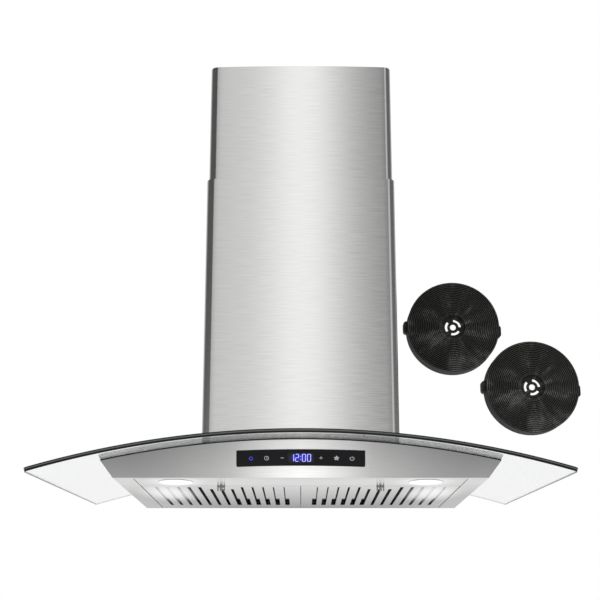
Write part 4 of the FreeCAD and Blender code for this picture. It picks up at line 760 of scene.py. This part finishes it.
frit = plate(
    "glass_frit",
    [(x * BODY_HALF, y * MM, -100 * MM) for x, y in ((-0.982, -504.5), (0.982, -504.5), (1, -461), (-1, -461))],
)
choose("VERT", lambda p, n: p.y < -500 * MM)
bpy.ops.mesh.bevel(affect="VERTICES", offset=9 * MM, segments=6)
for step in range(-27, 28):
    cut_along((step * ARCH_STEP, 0, 0), (1, 0, 0))
face_up()
lay_on(frit, below_glass)
modify(frit, "SOLIDIFY", thickness=0.1 * MM, offset=-1)
shade(frit)
give(frit, enamel)
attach(frit, "hood")

# Chimney covers: an outline round three sides, its front bowed and its corners round, drawn up and thickened


def chimney_cover(name, half, depth, back, corner, low, high, turn_in):
    """A sheet cover between two levels: half its width, its depth, and its open back with turned-in edges."""
    bow = 5 * MM
    bow_radius = (half**2 + bow**2) / (2 * bow)
    bow_centre = -depth - bow + bow_radius
    # The corner circle touches the side and the bowed front
    corner_x = half - corner
    corner_y = bow_centre - math.sqrt((bow_radius - corner) ** 2 - corner_x**2)
    swing = math.atan2(corner_x, bow_centre - corner_y)
    cover = trace(
        name,
        [
            (half - turn_in, -back, low),
            (half, -back, low),
            *[(half, -back + (corner_y + back) * part / 6, low) for part in range(1, 7)],
        ],
    )
    sweep(10, swing - math.pi / 2, (corner_x, corner_y, low), (0, 0, 1))
    sweep(40, -2 * swing, (0, bow_centre, low), (0, 0, 1))
    sweep(10, swing - math.pi / 2, (-corner_x, corner_y, low), (0, 0, 1))
    here = Vector((-half, corner_y, low))
    for part in range(1, 7):
        there = Vector((-half, corner_y + (-back - corner_y) * part / 6, low))
        bpy.ops.mesh.extrude_region_move(TRANSFORM_OT_translate={"value": there - here})
        here = there
    bpy.ops.mesh.extrude_region_move(TRANSFORM_OT_translate={"value": (turn_in, 0, 0)})
    everything()
    bpy.ops.mesh.remove_doubles(threshold=0.01 * MM)
    everything("EDGE")
    for part in range(6):
        bpy.ops.mesh.extrude_region_move(TRANSFORM_OT_translate={"value": (0, 0, (high - low) / 6)})
    everything("FACE")
    bpy.ops.mesh.normals_make_consistent(inside=False)
    choose("FACE", lambda p, n: p.y < -depth)
    turned_in = any(f.select and f.normal.y > 0 for f in bmesh.from_edit_mesh(cover.data).faces)
    if turned_in:
        everything("FACE")
        bpy.ops.mesh.flip_normals()
    leave()
    return cover


lower = chimney_cover(
    "lower_chimney_cover",
    half=163 * MM,
    depth=230 * MM,
    back=0,
    corner=14 * MM,
    low=-113.5 * MM,
    high=378 * MM,
    turn_in=11 * MM,
)
foot = lower.vertex_groups.new(name="foot")
foot.add([v.index for v in lower.data.vertices if v.co.z < -113 * MM], 1.0, "REPLACE")
lay_on(lower, over_glass, "foot")
upper = chimney_cover(
    "upper_chimney_cover",
    half=159.8 * MM,
    depth=226.8 * MM,
    back=1.6 * MM,
    corner=13 * MM,
    low=162 * MM,
    high=592 * MM,
    turn_in=7 * MM,
)
for cover in (lower, upper):
    modify(cover, "SOLIDIFY", thickness=1 * MM, offset=-1, use_even_offset=True)
    soften(cover, 0.3 * MM)
    give(cover, chimney_steel)
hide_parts("lower_chimney")
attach(lower, "hood")
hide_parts("upper_chimney")
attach(upper, "upper_cover")

# Fascia: a straight foot and a curved top bridged into one leaned sheet with a window for the touch glass

TOUCH_HALF, TOUCH_FOOT, TOUCH_TOP = 94 * MM, 36.8 * MM, 81.2 * MM


def touch_block(name, room, low, high):
    """The outline of the touch glass, a little narrower at its top, drawn out between two levels."""
    made = block(
        name, (-TOUCH_HALF - room, TOUCH_FOOT - room, low), (TOUCH_HALF + room, TOUCH_TOP + room, high)
    )
    edit(made)
    choose("VERT", lambda p, n: p.y > 60 * MM)
    bpy.ops.transform.resize(value=(0.975, 1, 1), center_override=(0, 0, 0))
    leave()
    return made


fascia_top = -2 * MM
top_angle = math.asin(BODY_HALF / (ARCH_RADIUS + fascia_top))
fascia = trace("fascia", [(-BODY_HALF, FASCIA_TOP_Y, arch(BODY_HALF, fascia_top))])
sweep(64, 2 * top_angle, (0, 0, ARCH_AXIS), (0, 1, 0))
leave()
foot_edge = trace("fascia_foot", [(-BODY_HALF + 2 * BODY_HALF * i / 64, *FASCIA_FOOT) for i in range(65)])
leave()
bpy.ops.object.select_all(action="DESELECT")
foot_edge.select_set(True)
fascia.select_set(True)
bpy.context.view_layer.objects.active = fascia
bpy.ops.object.join()
edit(fascia)
everything()
bpy.ops.mesh.remove_doubles(threshold=0.01 * MM)
everything("EDGE")
bpy.ops.mesh.bridge_edge_loops(number_cuts=6, interpolation="LINEAR")
everything("FACE")
bpy.ops.mesh.normals_make_consistent(inside=False)
if any(f.normal.z > 0 for f in bmesh.from_edit_mesh(fascia.data).faces):
    bpy.ops.mesh.flip_normals()
leave()
modify(fascia, "SOLIDIFY", thickness=1.2 * MM, offset=-1, use_even_offset=True)
window = settle(touch_block("control_window", 0.4 * MM, -8 * MM, 8 * MM), LEANED)
modify(fascia, "BOOLEAN", object=window, operation="DIFFERENCE", solver="EXACT")
discard(window)
soften(fascia, 0.25 * MM)
give(fascia, fascia_steel)
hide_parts("front_fascia")
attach(fascia, "hood")

# Touch control: black glass bowed like the fascia, with a pale rim round its edge, and its printed symbols

face = 4.0 * MM


def proud(x):
    """How far the face of the touch glass stands off the leaned plane: it follows the bow of the fascia."""
    return 1.9 * MM + 2.1 * MM * (x / (93 * MM)) ** 2


touch = touch_block("touch_glass", 0, -0.6 * MM, face)
edit(touch)
choose("EDGE", lambda p, way: abs(way.z) > 0.9)
bpy.ops.mesh.bevel(offset=2 * MM, segments=4)
for step in range(-7, 8):
    cut_along((step * 12.5 * MM, 0, 0), (1, 0, 0))
touch_mesh = bmesh.from_edit_mesh(touch.data)
stations = sorted({round(v.co.x, 5) for v in touch_mesh.verts if v.co.z > 0})
for station in stations:
    choose("VERT", lambda p, n: p.z > 0 and abs(p.x - station) < 0.006 * MM)
    bpy.ops.transform.translate(value=(0, 0, proud(station) - face))
leave()
soften(touch, 0.5 * MM, 3)
give(touch, panel_glass, white_plastic)
edit(touch)
paint(1, lambda p, n: abs(n.z) < 0.2)
leave()
settle(touch, LEANED)
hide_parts("control_glass")
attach(touch, "hood")

raise_ink = 0.3 * MM
row_y = 59.5 * MM
tall = 1.65


def printed(piece, made):
    """Draws a flat symbol out to the thickness of the ink and lays it on the touch glass."""
    edit(piece)
    everything("FACE")
    bpy.ops.mesh.extrude_region_move(TRANSFORM_OT_translate={"value": (0, 0, raise_ink)})
    face_out()
    leave()
    # Symbols are drawn taller than wide, since the fascia is seen at a slant
    piece.scale.y, piece.location.y = tall, row_y * (1 - tall)
    middle = sum(corner.co.x for corner in piece.data.vertices) / len(piece.data.vertices)
    piece.location.z = proud(middle) - face - 0.02 * MM
    keep_place()
    settle(piece, LEANED)
    give(piece, made)
    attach(piece, "hood")


def ring_symbol(name, x, radius, width, made, gap=0.0):
    """A flat ring, open at its top when a gap is given."""
    piece = primitive("circle", name, vertices=48, radius=radius, fill_type="NGON", location=(x, row_y, face))
    edit(piece)
    everything("FACE")
    bpy.ops.mesh.inset(thickness=width)
    bpy.ops.mesh.delete(type="FACE")
    if gap:
        choose("FACE", lambda p, n: abs(p.x - x) < gap / 2 and p.y > row_y)
        bpy.ops.mesh.delete(type="FACE")
    leave()
    printed(piece, made)
    return piece


def bar_symbol(name, x, y, width, height, made, turn=0.0):
    """A bar with rounded ends."""
    piece = primitive("plane", name, size=1)
    edit(piece)
    everything("VERT")
    bpy.ops.transform.resize(value=(width, height, 1), center_override=(0, 0, 0))
    bpy.ops.mesh.bevel(affect="VERTICES", offset=min(width, height) * 0.45, segments=3)
    leave()
    piece.rotation_euler.z = turn
    piece.location = (x, y, face)
    keep_place()
    printed(piece, made)
    return piece


pitch = 22.5 * MM
# Lit light key
ring_symbol("key_light", -3.2 * pitch, 2.9 * MM, 1.1 * MM, blue_ink)
# Timer: a small clock
ring_symbol("key_timer", -2.2 * pitch, 3.4 * MM, 0.7 * MM, grey_ink)
bar_symbol("key_timer_hand_up", -2.2 * pitch, row_y + 0.8 * MM, 0.6 * MM, 2.2 * MM, grey_ink)
bar_symbol("key_timer_hand_side", -2.2 * pitch + 0.8 * MM, row_y, 2.0 * MM, 0.6 * MM, grey_ink)
bar_symbol("key_minus", -1.2 * pitch, row_y, 4.6 * MM, 0.9 * MM, grey_ink)
bar_symbol("key_plus_across", 1.3 * pitch, row_y, 4.6 * MM, 0.9 * MM, grey_ink)
bar_symbol("key_plus_up", 1.3 * pitch, row_y, 0.9 * MM, 4.6 * MM, grey_ink)
for blade in range(5):
    turn = math.pi / 2 + blade * 2 * math.pi / 5
    bar_symbol(
        f"key_fan_blade_{blade + 1}",
        2.3 * pitch + 2.1 * MM * math.cos(turn),
        row_y + 2.1 * MM * math.sin(turn),
        3.4 * MM,
        1.9 * MM,
        grey_ink,
        turn,
    )
ring_symbol("key_power_ring", 3.3 * pitch, 3.4 * MM, 0.8 * MM, grey_ink, gap=3 * MM)
bar_symbol("key_power_bar", 3.3 * pitch, row_y + 1.8 * MM, 0.8 * MM, 3.4 * MM, grey_ink)

# Clock: four seven-segment digits and a colon

SEGMENTS = {"1": "bc", "2": "abged", "0": "abcdef"}
digit_half, digit_rise = 2.3 * MM, 5.9 * MM
places = {
    "a": (0, 2, 0),
    "g": (0, 0, 0),
    "d": (0, -2, 0),
    "f": (-1, 1, 1),
    "b": (1, 1, 1),
    "e": (-1, -1, 1),
    "c": (1, -1, 1),
}
for number, (digit, middle) in enumerate(zip("1200", (-12.6 * MM, -5.5 * MM, 4.6 * MM, 12.0 * MM)), start=1):
    for letter in SEGMENTS[digit]:
        side, level, upright = places[letter]
        bar_symbol(
            f"clock_{number}_{letter}",
            middle + side * digit_half,
            row_y + level * digit_rise / 2,
            1.1 * MM if upright else 3.9 * MM,
            5.4 * MM if upright else 0.8 * MM,
            clock_ink,
        )
for name, rise in (("low", -2.3 * MM), ("high", 2.3 * MM)):
    bar_symbol(f"clock_colon_{name}", -0.4 * MM, row_y + rise, 1.1 * MM, 1.0 * MM, clock_ink)
glow_half, glow_rise = 19 * MM, 14 * MM
patch = block(
    "clock_glow",
    (-glow_half, row_y - glow_rise, proud(0) - 0.05 * MM),
    (glow_half, row_y + glow_rise, proud(0) + 0.12 * MM),
)
edit(patch)
choose("EDGE", lambda p, way: abs(way.z) > 0.9)
bpy.ops.mesh.bevel(offset=5 * MM, segments=6)
leave()
settle(patch, LEANED)
patch_middle = LEANED @ Vector((0, row_y, proud(0)))
give(patch, soft_patch("clock_glow_light", "#3030C8", patch_middle, glow_half, glow_rise))
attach(patch, "hood")

# Lamps: a turned ring, a slightly domed lens, and a thin cast lip round the ring where it sits on the sheet


def lamp_part(name, profile, steps, made):
    """Turns a piece of the left lamp and lays it on the underside; gives it and its mirrored twin."""
    outline = [(-LAMP_X + r * MM, LAMP_Y, z * MM) for r, z in profile]
    part = lathe(name, outline, (-LAMP_X, LAMP_Y, 0), (0, 0, 1), steps)
    shade(part)
    settle(part, TILTED)
    give(part, made)
    twin = copy_of(part, name.replace("left", "right"), mirror=True)
    shade(twin)
    return part, twin


ring_profile = (
    (20.0, -0.4), (20.4, -1.3), (21.0, -1.5), (24.6, -1.5), (25.6, -1.2), (26.0, -0.5), (25.9, 0.0),
    (23.8, 0.0), (23.8, 10.0), (20.0, 10.0),
)
lens_profile = (
    (0.0, -1.6), (6.0, -1.55), (12.0, -1.35), (17.0, -1.05), (19.2, -0.7), (19.7, -0.2), (19.7, 1.5),
    (0.0, 1.5),
)
trim_profile = ((26.1, 0.2), (26.1, -0.35), (26.35, -0.45), (26.7, -0.2), (26.7, 0.2))
rings = lamp_part("lamp_left_ring", ring_profile, 72, chrome)
lenses = lamp_part("lamp_left_lens_glass", lens_profile, 64, lens_glass)
for pair, node, slot in ((rings, "bezel", "lamp_chrome"), (lenses, "lens", "lamp_lens")):
    for piece, side in zip(pair, ("left", "right")):
        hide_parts(f"lamp_{side}_{node}")
        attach(piece, "hood")
for piece in lamp_part("lamp_left_trim", trim_profile, 72, lamp_body):
    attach(piece, "hood")

# Slot lips: in the seven outer slots of each filter the inner side of the wide end is rolled back

lip = block(
    "slot_lip_left_1",
    (-SLOT_EDGE + 5.2 * MM, -131.4 * MM, -0.05 * MM),
    (-SLOT_EDGE + 8.2 * MM, -43.6 * MM, 0.75 * MM),
)
soften(lip, 0.25 * MM)
settle(lip, TILTED)
give(lip, under_steel)
left_lips = [lip]
for number in range(2, 8):
    left_lips.append(copy_of(lip, f"slot_lip_left_{number}", ((number - 1) * SLOT_PITCH, 0, 0)))
for left_lip in left_lips:
    right_lip = copy_of(left_lip, left_lip.name.replace("left", "right"), mirror=True)
    for piece, owner in ((left_lip, "filter_left"), (right_lip, "filter_right")):
        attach(piece, owner)

# Painted shadow: a thin dark strip in black rubber down each side of the opening in the underside, standing for
# the shadow in the gap there

shadow_strip = block("side_seam_left", (-252.0 * MM, -352 * MM, -0.1 * MM), (-250.9 * MM, -8 * MM, 0.9 * MM))
soften(shadow_strip, 0.2 * MM)
settle(shadow_strip, TILTED)
give(shadow_strip, rubber)
for piece in (shadow_strip, copy_of(shadow_strip, "side_seam_right", mirror=True)):
    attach(piece, "hood")

# Charcoal filters: a turned case with a fine ribbed front, a slotted hub and two rounded lugs

upper_spot, lower_spot = (286 * MM, 165 * MM), (429 * MM, 50.5 * MM)
CASE_FRONT = -34 * MM


def charcoal_plastic(name, spot):
    """Moulded black-olive polypropylene. Painted shade darkens the grooves between the ribs and all that lies
    as far back as them, and fully darkens the turned side wall; carbon dust rubbed along the spokes leaves
    paler rays."""
    made, tree, shader = new_material(name, 0.6, IOR=1.5, Specular_IOR_Level=0.12)
    place = object_place(tree, location=(-spot[0], 0, -spot[1]))
    depth = add(tree, "SeparateXYZ", [place], out="Y")
    flat = add(tree, "VectorMath", (place, (1, 0, 1)), operation="MULTIPLY")
    out = add(tree, "VectorMath", [flat], out="Value", operation="LENGTH")
    spoke = add(tree, "VectorMath", [flat], operation="NORMALIZE")
    turn = add(tree, "SeparateXYZ", [spoke]).node.outputs
    drawn_out = add(tree, "Math", (out, 7.0), operation="MULTIPLY")
    polar = add(tree, "CombineXYZ", (turn["X"], drawn_out, turn["Z"]))
    rays = add(tree, "TexNoise", {"Vector": polar, "Scale": 2.6, "Detail": 2.0})
    dust = grain(tree, 420.0)
    mostly = add(tree, "Math", (rays, 0.78), operation="MULTIPLY")
    both = add(tree, "Math", (dust, 0.22, mostly), operation="MULTIPLY_ADD")
    tone = add(tree, "ValToRGB", [both], stops=((0.44, "#30302E"), (0.54, "#3C3C3A"), (0.70, "#6A6A67")))
    # Painted shade: grooves and the side wall of the case darkened towards #131312
    on_rib = add(tree, "MapRange", (depth, CASE_FRONT + 1.8 * MM, CASE_FRONT, 0.45, 1.0))
    inside_rim = add(tree, "MapRange", (out, 84.6 * MM, 85.6 * MM, 1.0, 0.0))
    on_lug = add(tree, "MapRange", (out, 86.2 * MM, 86.6 * MM, 0.0, 1.0))
    off_wall = add(tree, "Math", (inside_rim, on_lug), operation="MAXIMUM")
    front_share = add(tree, "Math", (on_rib, off_wall), operation="MULTIPLY")
    shaded = add(tree, "Mix", {0: front_share, 6: colour("#131312"), 7: tone}, out=2, data_type="RGBA")
    relief = add(tree, "Bump", {"Height": dust, "Distance": 0.1 * MM, "Strength": 0.4})
    wire(shader, {"Base Color": shaded, "Normal": relief})
    return made


def charcoal_wall(name, spot):
    """The turned part of the case: wall with rounded rim, back, and ribs with grooves between them."""
    cx, cz = spot
    profile = [(23.0, -34.0), (24.6, -34.0)]
    for rib in range(18):
        near = 24.0 + 1.56 + rib * 3.36
        for past, level in ((-0.3, -32.2), (0, -33.9), (0.3, -34.0), (1.5, -34.0), (1.8, -33.9), (2.1, -32.2)):
            profile.append((near + past, level))
    profile += [(84.4, -34.0), (85.3, -33.7), (86.0, -32.8), (86.0, 0.0), (22.5, 0.0), (22.5, -1.5)]
    profile += [(84.5, -1.5), (84.5, -31.4), (23.0, -31.4)]
    wall = lathe(name, [(cx + r * MM, y * MM, cz) for r, y in profile], (cx, 0, cz), (0, 1, 0), steps=144)
    shade(wall)
    return wall


def charcoal_hub(name, spot):
    """The closed front of the hub: a disc with an eye and three curved slots, drawn back to its tube."""
    cx, cz = spot
    hub = primitive(
        "circle",
        name,
        vertices=96,
        radius=23.6 * MM,
        fill_type="NGON",
        location=(cx, CASE_FRONT + 7 * MM, cz),
        rotation=(math.pi / 2, 0, 0),
    )
    edit(hub)
    everything("FACE")
    for step in (8.6 * MM, 4.2 * MM, 5.3 * MM):
        bpy.ops.mesh.inset(thickness=step)
    bpy.ops.mesh.delete(type="FACE")

    def in_slot(p, n):
        out = math.hypot(p.x - cx, p.z - cz)
        clock = math.degrees(math.atan2(p.x - cx, p.z - cz)) % 360
        open_here = any(start < clock < end for start, end in ((2, 88), (122, 195), (238, 315)))
        return 11 * MM < out < 14.9 * MM and open_here

    choose("FACE", in_slot)
    bpy.ops.mesh.delete(type="FACE")
    everything("FACE")
    bpy.ops.mesh.normals_make_consistent(inside=False)
    if bmesh.from_edit_mesh(hub.data).faces[:][0].normal.y > 0:
        bpy.ops.mesh.flip_normals()
    leave()
    modify(hub, "SOLIDIFY", thickness=1.5 * MM, offset=-1)
    soften(hub, 0.25 * MM)
    return hub


def charcoal_lug(name, spot, side, drop):
    """A rounded tab at one side, where the case is gripped to twist it on."""
    cx, cz = spot
    near, far = sorted((cx + side * 84.8 * MM, cx + side * 92 * MM))
    lug = block(name, (near, -19 * MM, cz + drop - 11.5 * MM), (far, -2 * MM, cz + drop + 11.5 * MM))
    edit(lug)
    choose("EDGE", lambda p, way: abs(way.y) > 0.9 and abs(p.x - cx) > 90 * MM)
    bpy.ops.mesh.bevel(offset=5.5 * MM, segments=5)
    leave()
    soften(lug, 0.8 * MM, 3)
    return lug


case_parts = [
    charcoal_wall("charcoal_upper_wall", upper_spot),
    charcoal_hub("charcoal_upper_hub", upper_spot),
    charcoal_lug("charcoal_upper_lug_left", upper_spot, -1, 3 * MM),
    charcoal_lug("charcoal_upper_lug_right", upper_spot, 1, -5 * MM),
]
shift = (lower_spot[0] - upper_spot[0], 0, lower_spot[1] - upper_spot[1])
for name, spot in (("upper", upper_spot), ("lower", lower_spot)):
    skin = charcoal_plastic(f"moulded_charcoal_case_{name}", spot)
    if name == "lower":
        case_parts = [copy_of(part, part.name.replace("upper", name), shift) for part in case_parts]
    for part in case_parts:
        give(part, skin)
        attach(part, "hood")
    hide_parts(f"charcoal_{name}_case")

for form in (under_glass, below_glass, over_glass):
    discard(form)

# Studio: pale floor, soft world, three soft lamps and the camera at the photograph's angle

floor = primitive("plane", "studio_floor", size=120, location=(0, 0, -1.75))
edit(floor)
everything("FACE")
bpy.ops.mesh.subdivide(number_cuts=3)
leave()
floor_paint, floor_tree, floor_shader = new_material("matt_white_floor", 0.9, Emission_Color=(1, 1, 1, 1))
floor_tone = add(floor_tree, "ValToRGB", [grain(floor_tree, 2.0)], stops=((0.3, "#F2F2F1"), (0.7, "#F5F5F4")))
floor_seen = add(floor_tree, "LightPath", out="Is Camera Ray")
floor_glow = add(floor_tree, "Math", (floor_seen, 0.2), operation="MULTIPLY")
wire(floor_shader, {"Base Color": floor_tone, "Emission Strength": floor_glow})
give(floor, floor_paint)
floor.visible_glossy = False

world = bpy.data.worlds.new("soft_studio")
bpy.context.scene.world = world
world.use_nodes = True
sky = world.node_tree
sky.nodes.clear()
way = add(sky, "SeparateXYZ", [add(sky, "TexCoord", out="Generated")]).node.outputs
away = add(sky, "Math", (way["Y"], -1.0), operation="MULTIPLY")


def light_round(ahead, *lights):
    """Light by the way a reflection faces, from (degrees, strength) pairs; 0 degrees is straight ahead."""
    turn = add(sky, "Math", (way["X"], ahead), operation="ARCTAN2")
    share = add(sky, "MapRange", (turn, -math.pi, math.pi, 0.0, 1.0))
    return add(sky, "ValToRGB", [share], stops=[(0.5 + degrees / 360, light) for degrees, light in lights])


# What upward, level and steep downward reflections see: a lit strip ahead of the chimney with dark sides,
# pale walls below the horizon, and for the fascia a lit strip under the hood
front_light = light_round(
    away,
    (-180, 0.6), (-125, 0.5), (-105, 0.1), (-24, 0.08), (-14.5, 0.1), (-13.3, 0.8), (-8, 0.76), (-5, 0.84),
    (-1.6, 1.22), (1.6, 1.24), (4.5, 0.92), (7, 0.6), (9.5, 0.46), (12.5, 0.26), (17, 0.2), (24, 0.62),
    (40, 0.6), (52, 0.14), (105, 0.14), (125, 0.5), (180, 0.6),
)
level_light = light_round(
    away,
    (-180, 0.97), (-150, 0.9), (-100, 0.62), (-45, 0.8), (0, 0.95), (45, 0.8), (100, 0.62), (150, 0.9),
    (180, 0.97),
)
low_light = light_round(way["Y"], (-90, 0.6), (-30, 1.2), (-4, 1.38), (4, 1.38), (30, 1.2), (90, 0.6))
up_share = add(sky, "MapRange", (way["Z"], -0.02, 0.06, 0.0, 1.0))
low_share = add(sky, "MapRange", (way["Z"], -0.25, -0.38, 0.0, 1.0))
above = add(sky, "Mix", {0: up_share, 6: level_light, 7: front_light}, out=2, data_type="RGBA")
mirrored = add(sky, "Mix", {0: low_share, 6: above, 7: low_light}, out=2, data_type="RGBA")
path = add(sky, "LightPath").node.outputs
plain = add(sky, "Background", ((1, 1, 1, 1), 0.7))
white = add(sky, "Background", ((1, 1, 1, 1), 1.0))
studio = add(sky, "Background", (mirrored, 1.0))
seen = add(sky, "Math", (path["Is Camera Ray"], path["Is Transmission Ray"]), operation="MAXIMUM")
glossy = add(sky, "MixShader", (path["Is Glossy Ray"], plain, studio))
final = add(sky, "MixShader", (seen, glossy, white))
wire(sky.nodes.new("ShaderNodeOutputWorld"), {"Surface": final})

for name, spot, size, power in (
    ("key_softbox", (-1.7, -2.6, 1.5), 1.8, 32),
    ("fill_softbox", (2.3, -2.2, 0.3), 1.8, 14),
    ("low_softbox", (0.0, -1.6, -1.5), 1.6, 8),
):
    bpy.ops.object.light_add(type="AREA", location=spot)
    light = bpy.context.object
    light.name = light.data.name = name
    light.data.size = size
    light.data.energy = power
    light.rotation_euler = (Vector((0, -0.2, 0)) - Vector(spot)).to_track_quat("-Z", "Y").to_euler()
    light.visible_glossy = False

bpy.ops.object.camera_add(location=(0, -1.8998, -0.3283), rotation=(math.radians(90 + 12.99), 0, 0))
camera = bpy.context.object
camera.data.sensor_width = 36
camera.data.lens = 61.78
camera.data.shift_x = -0.0013
camera.data.shift_y = 0.0988
camera.data.clip_start = 0.05
bpy.context.scene.camera = camera
bpy.context.scene.view_settings.view_transform = "Standard"
